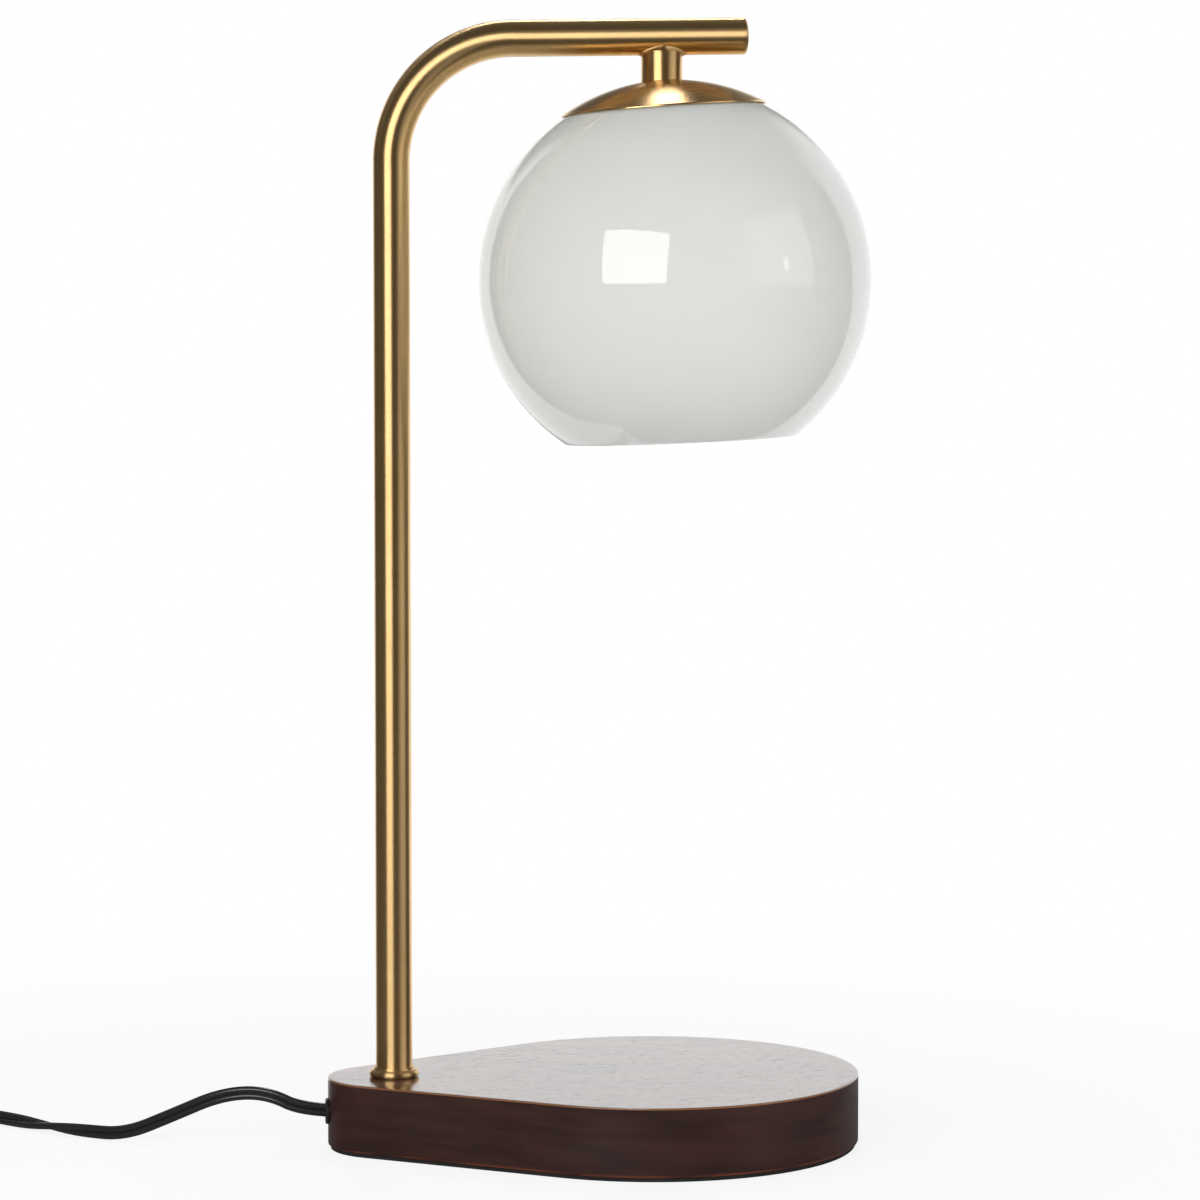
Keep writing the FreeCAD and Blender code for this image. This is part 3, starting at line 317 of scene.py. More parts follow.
@dataclass(frozen=True)
class BrushedBrass(Finish):
    """Satin brass with fine lines round the piece, which blur its reflections along it."""

    colour: Colour = (0.72, 0.485, 0.222)
    tarnish: Colour = (0.60, 0.37, 0.145)
    tarnished: float = 0.35  # the darkest cloud's share of tarnish
    clouds: float = 55
    roughness: float = 0.38
    anisotropy: float = 0.95
    lines: Point = (1300, 3, 1)  # along the piece and in one turn round it
    streak: float = 0.013  # how far a line's roughness strays
    grains: float = 1100
    grain: float = 0.0015 * MM

    def inputs(self, graph: Graph) -> Inputs:
        """Clouds of tarnish in the colour, lines in the roughness and grain in the normal."""
        clouds = graph.noise(self.clouds, 4)
        lines = graph.noise(self.lines, 2, "UV")
        grain = graph.noise(self.grains, 2)
        tarnish = graph.ramp(clouds, 0.35, 0.75, 0.0, self.tarnished)
        rough = graph.ramp(lines, *MOST, self.roughness - self.streak, self.roughness + self.streak)
        tangent = graph.add("Tangent", direction_type="UV_MAP", uv_map="UVMap").outputs[0]
        return dict(base_color=graph.blend(tarnish, self.colour, self.tarnish), metallic=1.0,
                    roughness=rough, anisotropic=self.anisotropy, tangent=tangent,
                    normal=graph.bump(grain, self.grain))


@dataclass(frozen=True)
class PlainMetal(Finish):
    """Machined metal for small and hidden pieces."""

    colour: Colour
    roughness: float
    lines: Point = (300, 300, 2600)
    streak: Span = (0.07, 0.09)  # how much smoother and how much rougher a line gets
    depth: float = 0.006 * MM

    def inputs(self, graph: Graph) -> Inputs:
        """Tool marks in the roughness and the normal."""
        lines = graph.noise(self.lines, 3)
        smoother, rougher = self.streak
        rough = graph.ramp(lines, *MOST, self.roughness - smoother, self.roughness + rougher)
        return dict(base_color=self.colour, metallic=1.0, roughness=rough,
                    normal=graph.bump(lines, self.depth))


@dataclass(frozen=True)
class OpalGlass(Finish):
    """Milky glass with swirls and a glossy skin that waves slightly."""

    milk: Colour = (0.665, 0.688, 0.640)
    pale: Colour = (0.695, 0.708, 0.675)
    roughness: float = 0.03
    scatter: float = 0.5  # the share of light that scatters inside
    reach: float = 15 * MM  # how far it goes there
    swirls: Point = (9, 9, 16)
    waves: Point = (22, 22, 30)
    wave: float = 0.25 * MM

    def inputs(self, graph: Graph) -> Inputs:
        """Swirls in the colour and waves in the normal."""
        swirl = graph.noise(self.swirls, 4)
        wave = graph.noise(self.waves, 2)
        return dict(base_color=graph.blend(graph.ramp(swirl, *MOST), self.milk, self.pale),
                    roughness=self.roughness, ior=1.5, subsurface_weight=self.scatter,
                    subsurface_radius=(1.0, 1.0, 0.95), subsurface_scale=self.reach,
                    normal=graph.bump(wave, self.wave, 0.5))


@dataclass(frozen=True)
class DarkVeneer(Finish):
    """Open-pored stained veneer: short dark pores along X, and a browner eased edge."""

    dark: Colour = (0.046, 0.021, 0.015)
    light: Colour = (0.185, 0.092, 0.061)
    pore: Colour = (0.010, 0.005, 0.004)
    edge: Colour = (0.22, 0.088, 0.034)
    top: float = 31.5 * MM
    edge_band: Span = (0.03 * MM, 0.16 * MM)  # below the top, where its colour starts and is full
    figure: Point = (16, 110, 40)
    streaks: Point = (70, 700, 100)
    pores: Point = (210, 1650, 300)
    pore_rim: Span = (0.625, 0.70)  # the noise at a pore's rim and floor
    smooth: Span = (0.16, 0.19)  # the roughness beside a streak and in it
    open: float = 0.6  # the roughness in a pore
    coat: float = 0.5
    coat_roughness: float = 0.14
    pore_depth: float = 0.01 * MM

    def inputs(self, graph: Graph) -> Inputs:
        """Figure, streaks and pores along X, each finer than the last."""
        figure = graph.noise(self.figure, 5)
        streaks = graph.noise(self.streaks, 3)
        pore = graph.ramp(graph.noise(self.pores, 2), *self.pore_rim)
        wood = graph.blend(graph.ramp(figure, *MOST), self.dark, self.light)
        wood = graph.blend(graph.ramp(streaks, 0.45, 0.7, 0.0, 0.3), wood, self.dark)
        wood = graph.blend(pore, wood, self.pore)
        rim = graph.ramp(graph.height(), *(self.top - drop for drop in self.edge_band))
        rough = graph.between(pore, graph.ramp(streaks, 0.35, 0.7, *self.smooth), self.open)
        return dict(base_color=graph.blend(rim, wood, self.edge), roughness=rough, ior=1.5,
                    coat_weight=self.coat, coat_roughness=self.coat_roughness,
                    normal=graph.bump(pore, -self.pore_depth, 0.3))


@dataclass(frozen=True)
class StainedWood(Finish):
    """Smooth lacquered wood, a little redder along its lower edge."""

    dark: Colour = (0.020, 0.0055, 0.0040)
    light: Colour = (0.038, 0.0105, 0.0070)
    red: Colour = (0.13, 0.028, 0.010)
    bottom: float = 1.8 * MM
    red_band: Span = (1.5 * MM, 0.3 * MM)  # above the bottom, where the red starts and is full
    roughness: Span = (0.33, 0.42)
    figure: Point = (25, 25, 190)
    clouds: Point = (40, 40, 60)
    peels: float = 420
    peel: float = 0.02 * MM

    def inputs(self, graph: Graph) -> Inputs:
        """Figure and red clouds in the colour, and the lacquer's orange peel in the normal."""
        figure = graph.noise(self.figure, 5)
        clouds = graph.noise(self.clouds, 3)
        colour = graph.blend(graph.ramp(figure, *MOST), self.dark, self.light)
        low = graph.ramp(graph.height(), *(self.bottom + rise for rise in self.red_band))
        colour = graph.blend(graph.product(low, graph.ramp(clouds, 0.35, 0.62)), colour, self.red)
        peel = graph.noise(self.peels, 2)
        return dict(base_color=colour, roughness=graph.ramp(clouds, *MOST, *self.roughness),
                    ior=1.48, normal=graph.bump(peel, self.peel, 0.5))


@dataclass(frozen=True)
class Plastic(Finish):
    """Rubber, vinyl, moulded plastic, porcelain or glass: one colour with grain, a little uneven."""

    colour: Colour
    roughness: float
    grains: float
    depth: float
    shade: float = 0.82  # the darkest cloud's share of the colour
    uneven: float = 0.12  # by what share the roughness strays
    clouds: float = 45

    def inputs(self, graph: Graph) -> Inputs:
        """Clouds in the colour and the roughness, and grain in the normal."""
        clouds = graph.noise(self.clouds, 3)
        grains = graph.noise(self.grains, 2)
        darker = tuple(self.shade * c for c in self.colour)
        stray = self.uneven * self.roughness
        rough = graph.ramp(clouds, *MOST, self.roughness - stray, min(1.0, self.roughness + stray))
        return dict(base_color=graph.blend(clouds, darker, self.colour), roughness=rough,
                    normal=graph.bump(grains, self.depth, 0.7))


FINISHES = (
    BrushedBrass("brushed_brass"),
    BrushedBrass("spun_brass", roughness=0.27, anisotropy=0.85, streak=0.004, grain=0.0004 * MM),
    PlainMetal("plain_brass", (0.80, 0.61, 0.31), 0.28),
    PlainMetal("zinc_steel", (0.62, 0.62, 0.64), 0.33),
    OpalGlass("opal_glass"),
    DarkVeneer("dark_veneer"),
    StainedWood("stained_wood"),
    Plastic("foam_pad", (0.012, 0.011, 0.011), 0.9, 2600, 0.08 * MM),
    Plastic("black_vinyl", (0.018, 0.0165, 0.016), 0.22, 900, 0.01 * MM),
    Plastic("moulded_plastic", (0.018, 0.018, 0.019), 0.42, 2200, 0.03 * MM),
    Plastic("black_phenolic", (0.022, 0.020, 0.019), 0.36, 1600, 0.015 * MM),
    Plastic("porcelain", (0.80, 0.78, 0.73), 0.12, 500, 0.01 * MM),
    Plastic("frosted_glass", (0.86, 0.86, 0.85), 0.45, 3000, 0.01 * MM),
    Plastic("dark_glass", (0.03, 0.02, 0.03), 0.1, 700, 0.01 * MM),
)
NODE_FINISHES = {
    "plain_brass": ("foot_pipe", "foot_nut", "foot_insert", "head_pipe", "cap_nut", "screw_contact",
                    "centre_contact", "plug_blades", "bulb_tip"),
    "zinc_steel": ("base_weight", "weight_screws", "foot_washer", "lock_washer", "switch_axle",
                   "switch_screws"),
    "black_vinyl": ("cord_bushing", "supply_wires"),
    "moulded_plastic": ("switch_lower", "switch_upper", "switch_dial", "plug_body"),
    "black_phenolic": ("holder_cap", "holder_skirt", "shade_ring"),
    "porcelain": ("terminal_block",),
    "dark_glass": ("bulb_insulator",),
}


def dress_nodes(finishes: Finishes) -> None:
    """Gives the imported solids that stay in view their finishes.

    Args:
        finishes: every material by its name.
    """
    for finish, nodes in NODE_FINISHES.items():
        for node in nodes:
            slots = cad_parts[node].data.materials
            slots.clear()
            slots.append(finishes[finish])


# ---- base


@dataclass
class Base:
    """The teardrop base: wooden block, veneer and pad."""

    small_radius: float = 29 * MM
    large_radius: float = 91 * MM
    centres: float = 114 * MM
    pad_inset: float = 1.2 * MM
    pad_edge: float = 0.2 * MM
    eased_edge: float = 0.4 * MM
    lower_edge: float = 0.7 * MM
    flat: float = 2 * MM  # how wide each face's outermost ring of faces is
    low_ring: float = 6 * MM
    high_ring: float = 1 * MM

    def outline(self) -> tuple[Array, Array]:
        """The two round ends joined by tangents, anticlockwise.

        The tangents' normals make an angle a with -X, where
        cos(a) = (large radius - small radius) / distance of the centres.

        Returns:
            The outline's points and their outward normals, without heights.
        """
        touch = math.degrees(math.acos(-(self.large_radius - self.small_radius) / self.centres))
        large = arc((0, 0), 1, -touch, touch, 220)
        small = arc((0, 0), 1, touch, 360 - touch, 90)
        points = np.vstack((large * self.large_radius + (self.centres, 0), small * self.small_radius))
        return points, np.vstack((large, small))

    def solid(self, name: str, profile: Array, material: Material) -> bpy.types.Object:
        """Carries a profile round the outline and closes it above and below.

        Args:
            name: the piece's name.
            profile: rows of inset from the outline and height.
            material: its finish.

        Returns:
            The closed piece.
        """
        points, normals = self.outline()
        rows = points - profile[:, None, :1] * normals
        heights = np.broadcast_to(profile[:, None, 1:], (*rows.shape[:2], 1))
        body = np.concatenate((rows, heights), axis=2)
        first, last = ((self.centres / 2, 0, height) for height in profile[[0, -1], 1])
        return skin(name, capped(body, first, last), material)

    def build(self, finishes: Finishes) -> None:
        """Makes the block, the veneer and the pad."""
        low, high = (corner.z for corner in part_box("base_block"))
        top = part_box("top_veneer")[1].z
        flat, inset = self.flat, self.pad_inset
        rounded = arc((self.lower_edge, low + self.lower_edge), self.lower_edge, 270, 180, 7)
        block = np.vstack(((flat, low), rounded, (0, low + self.low_ring), (0, high - self.high_ring),
                           (0, high), (flat, high)))
        eased_rim = arc((self.eased_edge, top - self.eased_edge), self.eased_edge, 180, 90, 7)
        sheet = np.vstack(((flat, high), (0, high), eased_rim, (flat, top)))
        pad = np.array([(inset + flat, 0), (inset + self.pad_edge, 0), (inset, self.pad_edge),
                        (inset, low), (inset + flat, low)])
        for name, profile, finish, slot, node in (
                ("wood_block", block, "stained_wood", Slot.WOOD, "base_block"),
                ("veneer_top", sheet, "dark_veneer", Slot.VENEER, "top_veneer"),
                ("foam_foot", pad, "foam_pad", Slot.PAD, "bottom_pad")):
            fit(self.solid(name, profile, finishes[finish]), "lamp", slot, node)


# ---- post, arm and stem


@dataclass
class PostAndArm:
    """One bent tube with its collar, end plug, bead and stem."""

    radius: float = 8 * MM
    wall: float = 1.2 * MM
    crossing_height: float = 483.1 * MM
    bend_radius: float = 53.5 * MM
    rise: float = 1.0
    arm_length: float = 153.6 * MM
    collar_radius: float = 11 * MM
    collar_shoulder: float = 8.9 * MM
    collar_height: float = 4.3 * MM
    collar_bead: float = 3.2 * MM
    stem_radius: float = 9 * MM
    stem_top: float = 6.5 * MM
    bead: float = 1.2 * MM
    bead_top: float = 4.6 * MM
    bead_arch: float = 15 * MM
    bead_reach: float = 10.6 * MM
    bead_fade: float = 2 * MM
    bead_sink: float = 0.3 * MM
    end_edge: float = 1.4 * MM
    end_dome: float = 0.9 * MM
    spigot_length: float = 6 * MM

    @property
    def arm_over_stem(self) -> float:
        """The height of the arm's axis over the stem."""
        return self.crossing_height + STEM_REACH * math.tan(math.radians(self.rise))

    def tube(self) -> Array:
        """The tube's axis: up the post, round the bend and along the arm, then its two walls.

        The bend's points are middle + R (-cos(t), sin(t)) with t from 0 to 90 degrees less the rise.

        Returns:
            The grid of the outer wall out and the inner wall back.
        """
        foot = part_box("arm_tube")[0].z
        rise = math.radians(self.rise)
        reach = self.bend_radius * math.tan((math.pi / 2 - rise) / 2)
        start = self.crossing_height - reach
        swing = np.radians(np.linspace(0, 90 - self.rise, 70))
        bend = np.column_stack((1 - np.cos(swing), np.sin(swing))) * self.bend_radius + (0, start)
        bend_way = np.column_stack((np.sin(swing), np.cos(swing)))
        post = np.column_stack((np.zeros(12), np.linspace(foot, start, 12, endpoint=False)))
        arm_way = np.array((math.cos(rise), math.sin(rise)))
        run = np.linspace(reach, self.arm_length, 8)[1:, None]
        arm = np.array((0, self.crossing_height)) + run * arm_way
        path = np.vstack((post, bend, arm))
        ways = np.vstack((np.tile((0, 1), (len(post), 1)), bend_way, np.tile(arm_way, (len(arm), 1))))
        path, ways = (np.insert(rows, 1, 0.0, axis=1) for rows in (path, ways))
        across = np.tile((0.0, -1.0, 0.0), (len(path), 1))
        up = np.cross(across, ways)
        ring = arc((0, 0), 1, 0, 360, ROUND + 1)[:-1]
        outer, inner = (carried(ring * radius, path, across, up)
                        for radius in (self.radius, self.radius - self.wall))
        return np.concatenate((outer, inner[::-1]))

    def collar(self) -> Array:
        """The turned ring at the post's foot: a bead below, then a hollow up to a narrow shoulder."""
        low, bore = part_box("foot_collar")[0].z, self.radius
        half = self.collar_bead / 2
        bead = arc((self.collar_radius - half, low + half), half, -78, 78, 20)
        drop = self.collar_height - self.collar_bead
        width = bead[-1, 0] - self.collar_shoulder
        share = np.linspace(0, 1, 10)[1:, None]
        hollow = np.hstack((bead[-1, 0] - width * np.sin(share * np.pi / 2),
                            bead[-1, 1] + (low + self.collar_bead + drop - bead[-1, 1]) * share**2))
        inside = np.array([(bore, low + self.collar_height), (bore, low)])
        return turned(np.vstack((bead, hollow, inside)))

    def stem(self) -> Array:
        """The upright bar under the arm, coped to the bead above and cut to the cap's slope below.

        Over a point (x, y) the upper face lies at the lower of the stem's square top and
        arm axis - sqrt(R^2 - y^2), with R the radius over the bead.

        Returns:
            The grid of the lower face, the round side, the upper face and the hidden bore.
        """
        turn = np.linspace(0, 2 * np.pi, ROUND, endpoint=False)
        bore, edge = 6.2 * MM, 0.3 * MM
        radii = np.array((bore, self.stem_radius - edge, *[self.stem_radius] * 8, bore))[:, None]
        share = np.array((0, 0, *np.linspace(0, 1, 8), 1))[:, None]
        lift = np.array((0, 0, edge, *[0] * 8))[:, None]
        x, y = radii * np.cos(turn), radii * np.sin(turn)
        low = SEAT_HEIGHT + x * math.tan(math.radians(HEAD_TILT))
        skin_radius = self.radius + self.bead
        cope = self.arm_over_stem + x * math.tan(math.radians(self.rise))
        cope -= np.sqrt(np.maximum(skin_radius**2 - y**2, 0))
        high = np.minimum(cope, self.arm_over_stem - self.stem_top)
        return np.stack((x + STEM_REACH, y, low + lift + (high - low - lift) * share), axis=2)

    def saddle(self) -> Array:
        """The arched brazed bead on the arm's skin over the stem.

        With q the angle round the arm from straight below and s a sine from -1 to 1 over all q, an
        arch reaches X(q) to both sides, where X^2 = arch radius^2 - (height over its middle)^2, and
        the bead ends at its reach at the latest. It stands sqrt((1 - (x / X)^4) (1 - s^4)) f^2 of its
        thickness off the tube, where f falls evenly from 1 to 0 over the fade before the reach.

        Returns:
            The grid over q of the outer skin and back, before it is placed.
        """
        skin_radius = self.radius + self.bead
        middle = self.bead_top + self.bead_arch
        last = math.acos(self.bead_top / skin_radius)
        s = np.sin(np.radians(np.linspace(-90, 90, 61)))[:, None]
        q = last * s
        b = np.sin(np.radians(np.linspace(-90, 90, 49)))
        half = np.sqrt(np.maximum(self.bead_arch**2 - (middle - skin_radius * np.cos(q))**2, 0))
        x = np.minimum(half, self.bead_reach) * b
        fade = np.clip((self.bead_reach - np.abs(x)) / self.bead_fade, 0, 1)
        share = x / np.maximum(half, 1e-9)
        radius = self.radius + self.bead * np.sqrt((1 - share**4) * (1 - s**4)) * fade**2
        radius = np.hstack((radius, np.full((len(s), len(b) - 2), self.radius - self.bead_sink)))
        x = np.hstack((x, x[:, -2:0:-1]))
        return np.stack((x, -radius * np.sin(q), -radius * np.cos(q)), axis=2)

    def end_plug(self) -> Array:
        """The plug in the arm's end, about Z: a spigot, a rounded edge and a ball's crown."""
        edge, dome = self.end_edge, self.end_dome
        face = self.radius - edge
        sphere = (face**2 + dome**2) / (2 * dome)
        crown = arc((0, edge + dome - sphere), sphere, 90 - from_pole(face, sphere), 90, 16)
        rim = arc((face, 0), edge, 0, 90, 9)
        spigot, deep = self.radius - self.wall, -self.spigot_length
        return turned(np.vstack(((0, deep), (spigot, deep), (spigot, 0), rim, crown[1:])))

    def build(self, finishes: Finishes) -> None:
        """Makes the stem, the bead, the tube, its collar and its end plug."""
        rise = math.radians(self.rise)
        bead = placed(self.saddle(), (STEM_REACH, 0, self.arm_over_stem), -self.rise)
        tip = (self.arm_length * math.cos(rise), 0, self.crossing_height + self.arm_length * math.sin(rise))
        plug = placed(self.end_plug(), tip, 90 - self.rise)
        for name, grid, closed, node in (
                ("head_stem", self.stem(), True, "stem"),
                ("brazed_bead", bead, False, "saddle_bead"),
                ("bent_tube", self.tube(), True, "arm_tube"),
                ("post_collar", self.collar(), True, "foot_collar"),
                ("arm_cap", plug, False, "arm_end_plug")):
            fit(skin(name, grid, finishes["brushed_brass"], closed), "lamp", Slot.BRASS, node)


# ---- head


@dataclass
class Head:
    """Cap, globe and bulb, all about one axis a little out of plumb."""

    globe_radius: float = 86 * MM
    globe_wall: float = 3.2 * MM
    globe_drop: float = 86.667 * MM
    neck_radius: float = 20.7 * MM
    mouth_radius: float = 50.3 * MM
    mouth_skew: float = 1.5
    skew_start: float = 40.0  # degrees from the pole
    cap_radius: float = 44.7 * MM
    cap_flat: float = 9.6 * MM
    cap_wall: float = 0.8 * MM
    cap_edge: float = 0.5 * MM
    cap_bore: float = 5.25 * MM
    rim_drop: float = 0.1 * MM
    rim_edge: float = 0.15 * MM
    bulb_radius: float = 16 * MM
    bulb_top: float = 32.9 * MM
    bulb_length: float = 86 * MM
    bulb_neck: float = 12.6 * MM
    bulb_shoulder: float = 9 * MM
    bulb_in_cap: float = 4 * MM
    screw_top: float = 4.6 * MM
    screw_slope: float = 1 * MM
    screw_length: float = 26.6 * MM
    screw_radius: float = 13.1 * MM
    screw_wall: float = 0.4 * MM
    screw_bore: float = 6.5 * MM
    thread_pitch: float = 3.63 * MM
    thread_depth: float = 1.0 * MM
    plain_band: float = 4.5 * MM

    def globe(self) -> Array:
        """The glass wall: outer ball down to the mouth, round lip, inner ball up to the neck hole.

        A point at polar angle p on a ball of radius R is (R sin(p), R cos(p)). The mouth's skew turns
        each row about Y by a share of it that grows smoothly from 0 near the neck to 1 at the lip,
        which keeps every point on its ball.

        Returns:
            The grid in the head's frame.
        """
        outer, inner = self.globe_radius, self.globe_radius - self.globe_wall
        middle = (outer + inner) / 2
        mouth = from_pole(self.mouth_radius, middle)
        down = arc((0, 0), outer, 90 - from_pole(self.neck_radius, outer), mouth - 90, 110)
        lip_middle = arc((0, 0), middle, mouth - 90, mouth - 90, 1)[0]
        lip = arc(lip_middle, self.globe_wall / 2, mouth - 90, mouth - 270, 12)[1:-1]
        up = arc((0, 0), inner, mouth - 90, 90 - from_pole(self.neck_radius, inner), 110)
        profile = np.vstack((down, lip, up))
        polar = np.degrees(np.arctan2(profile[:, 0], profile[:, 1]))
        share = np.clip((polar - self.skew_start) / (180 - mouth - self.skew_start), 0, 1)
        angle = np.radians(self.mouth_skew * eased(share))[:, None]
        return leaned(turned(profile, FINE_ROUND), angle) - (0, 0, self.globe_drop)

    def cap(self) -> Array:
        """The spun dome: a ball's crown with a flat seat on top and a short turned-down rim."""
        outer, inner, edge = self.globe_radius + self.cap_wall, self.globe_radius, self.cap_edge
        drop = math.sqrt(outer**2 - self.cap_flat**2)
        inside = self.cap_radius - self.cap_wall
        flat_in = math.degrees(math.acos((drop - self.cap_wall) / inner))
        crown = arc((0, -drop), outer, 90 - from_pole(self.cap_flat, outer),
                    90 - from_pole(self.cap_radius - edge, outer), 60)
        under = arc((0, -drop), inner, 90 - from_pole(inside, inner), 90 - flat_in, 40)
        rounded = arc((self.cap_radius - edge, crown[-1, 1] - edge), edge, 80, 0, 6)
        low = under[0, 1] - self.rim_drop
        foot = ((self.cap_radius, low + self.rim_edge), (self.cap_radius - self.rim_edge, low),
                (inside, low))
        top, below = (self.cap_bore, 0.0), (self.cap_bore, -self.cap_wall)
        return turned(np.vstack((top, crown, rounded, foot, under, below)), FINE_ROUND)

    def bulb(self) -> Array:
        """The frosted glass: a neck inside its cap, a soft shoulder, a straight side and a round end."""
        cap_end = -self.bulb_top - self.screw_length
        end = -self.bulb_top - self.bulb_length
        radius, neck, hidden = self.bulb_radius, self.bulb_neck, cap_end + self.bulb_in_cap
        share = np.linspace(0, 1, 14)[:, None]
        shoulder = np.hstack((neck + (radius - neck) * eased(share), cap_end - self.bulb_shoulder * share))
        dome = arc((0, end + radius), radius, 0, -90, 40)
        return turned(np.vstack(((0, hidden), (neck, hidden), shoulder, dome)), COARSE_ROUND)

    def bulb_screw(self) -> Array:
        """The bulb's screwed cap.

        Its radius at a height z and an angle t is R - d f (1 + cos(2 pi z / pitch - t)) / 2, with d
        the thread's depth and f a share that falls to 0 at the upper edge and at the plain band below.

        Returns:
            The grid of the outer skin and of the inner skin back.
        """
        top, low = -self.bulb_top - self.screw_top, -self.bulb_top - self.screw_length
        turn = np.linspace(0, 2 * np.pi, COARSE_ROUND, endpoint=False)
        height = np.linspace(top - self.screw_slope, low, 90)[:, None]
        run_out = self.thread_pitch / 2
        fade = np.clip((height[0] - height) / run_out, 0, 1)
        fade = fade * np.clip((height - low - self.plain_band) / run_out, 0, 1)
        wave = (1 + np.cos(2 * np.pi * height / self.thread_pitch - turn)) / 2
        radius = self.screw_radius - self.thread_depth * fade * wave
        bore = np.full((1, len(turn)), self.screw_bore)
        radii = np.vstack((bore, radius, radius[::-1] - self.screw_wall, bore))
        heights = np.vstack((top, height, height[::-1], height[:1] - self.screw_wall))
        return np.stack((radii * np.cos(turn), radii * np.sin(turn), heights + 0 * turn), axis=2)

    def build(self, finishes: Finishes) -> None:
        """Makes the cap, the globe, and the bulb's glass and screwed cap."""
        seat = STEM_REACH, 0.0, SEAT_HEIGHT
        for name, grid, finish, closed, body, slot, node in (
                ("dome_cap", self.cap(), "spun_brass", True, "lamp", Slot.BRASS, "shade_cap"),
                ("glass_globe", self.globe(), "opal_glass", True, "globe", Slot.OPAL, "opal_globe"),
                ("bulb_glass", self.bulb(), "frosted_glass", False, "bulb", Slot.BULB_GLASS,
                 "bulb_envelope"),
                ("bulb_screw", self.bulb_screw(), "plain_brass", True, "bulb", Slot.PLAIN_BRASS,
                 "bulb_cap")):
            fit(skin(name, placed(grid, seat, -HEAD_TILT), finishes[finish], closed), body, slot, node)


# ---- cords


@dataclass
class FlatCord:
    """A flat cord of two round conductors side by side, standing on its edge."""

    width: float = 6 * MM
    conductor: float = 1.58 * MM
    web: float = 0.75 * MM
    to_switch: tuple[Point, ...] = (  # control points in millimetres
        (-16, 0, 16.5), (-39, 0, 16.5), (-56, 2.5, 25), (-75.5, 7.5, 23.5), (-97, 16, 13),
        (-117.5, 25.5, 3.2), (-136, 37, 3), (-155, 52.5, 3), (-170.5, 70, 3), (-182.5, 78.5, 3.6),
        (-196, 83, 5.6), (-209.5, 84.5, 7), (-221.5, 84.5, 7))
    to_coil: tuple[Point, ...] = (
        (-257.5, 84.5, 7), (-272, 84.5, 7), (-285.5, 79, 5.6), (-296, 68.5, 4.2), (-302, 55, 3.2),
        (-303, 41, 3), (-303, 28, 3))
    to_plug: tuple[Point, ...] = (
        (-265.5, -9.5, 9), (-254.5, -9.5, 7.5), (-244, -9.5, 7.5))
    twist: float = 180.0
    twist_start: float = 120 * MM
    twist_length: float = 70 * MM
    coil_turns: float = 7.25
    coil_steps: int = 14
    coil_radius: float = 37.5
    coil_inside: float = 24.5
    coil_layers: Span = (3.0, 9.2)
    climb_turns: float = 0.5

    def section(self) -> Array:
        """Two round conductors joined by a web.

        At a distance w from the middle the half thickness is sqrt(r^2 - (|w| - c)^2), with c the
        conductors' distance from it, and never less than the web's.
        """
        angle = np.linspace(0, 2 * np.pi, 40, endpoint=False)
        along = self.width / 2 * np.cos(angle)
        centre = self.width / 2 - self.conductor
        half = np.sqrt(np.maximum(self.conductor**2 - (np.abs(along) - centre)**2, 0))
        half = np.where(np.abs(along) < centre, np.maximum(half, self.web), half)
        return np.column_stack((np.sign(np.sin(angle)) * half, along))

    def coil(self) -> Array:
        """The coil's control points: one layer winding inwards, and one on top winding outwards.

        The radius falls evenly to half of the turns and grows evenly back, and the line climbs from
        layer to layer there.
        """
        count = int(self.coil_turns * self.coil_steps)
        turn = np.linspace(0, self.coil_turns, count + 1)[1:-1]
        middle = self.coil_turns / 2
        radius = self.coil_inside + (self.coil_radius - self.coil_inside) * np.abs(turn / middle - 1)
        climb = np.clip((turn - middle) / self.climb_turns + 0.5, 0, 1)
        height = self.coil_layers[0] + np.ptp(self.coil_layers) * eased(climb)
        angle = np.pi + 2 * np.pi * turn
        x, y, _ = self.to_coil[-1]
        x += self.coil_radius
        return np.column_stack((x + radius * np.cos(angle), y + radius * np.sin(angle), height))

    @staticmethod
    def spline(name: str, points: Array) -> Array:
        """The smooth line that a NURBS spline of order 3 makes of its control points.

        Args:
            name: the curve's name.
            points: the control points in millimetres.

        Returns:
            Points along the line in metres.
        """
        data = bpy.data.curves.new(name, "CURVE")
        data.dimensions = "3D"
        data.resolution_u = 10
        spline = data.splines.new("NURBS")
        spline.points.add(len(points) - 1)
        spline.points.foreach_set("co", np.column_stack((points * MM, np.ones(len(points)))).ravel())
        spline.order_u = 3
        spline.use_endpoint_u = True
        curve = linked(name, data)
        bpy.context.view_layer.update()
        line = bpy.data.meshes.new_from_object(curve)
        path = np.empty(3 * len(line.vertices))
        line.vertices.foreach_get("co", path)
        bpy.data.objects.remove(curve)
        bpy.data.meshes.remove(line)
        return path.reshape(-1, 3)

    def lead(self, name: str, path: Array, material: Material,
             twist: Array | float = 0.0) -> bpy.types.Object:
        """Carries the section along a line, its width as upright as the line allows.

        The upright direction is Z less its share along the line, turned about the line by the twist.

        Args:
            name: the piece's name.
            path: points along the line.
            material: its finish.
            twist: degrees of turn at each point.

        Returns:
            The closed piece.
        """
        ways = np.gradient(path, axis=0)
        ways /= np.linalg.norm(ways, axis=1, keepdims=True)
        up = np.array((0.0, 0.0, 1.0)) - ways[:, 2:] * ways
        up /= np.linalg.norm(up, axis=1, keepdims=True)
        across = np.cross(ways, up)
        angle = np.radians(np.broadcast_to(twist, len(path)))[:, None]
        cosine, sine = np.cos(angle), np.sin(angle)
        across, up = across * cosine + up * sine, up * cosine - across * sine
        body = carried(self.section(), path, across, up)
        return skin(name, capped(body, path[0], path[-1]), material)

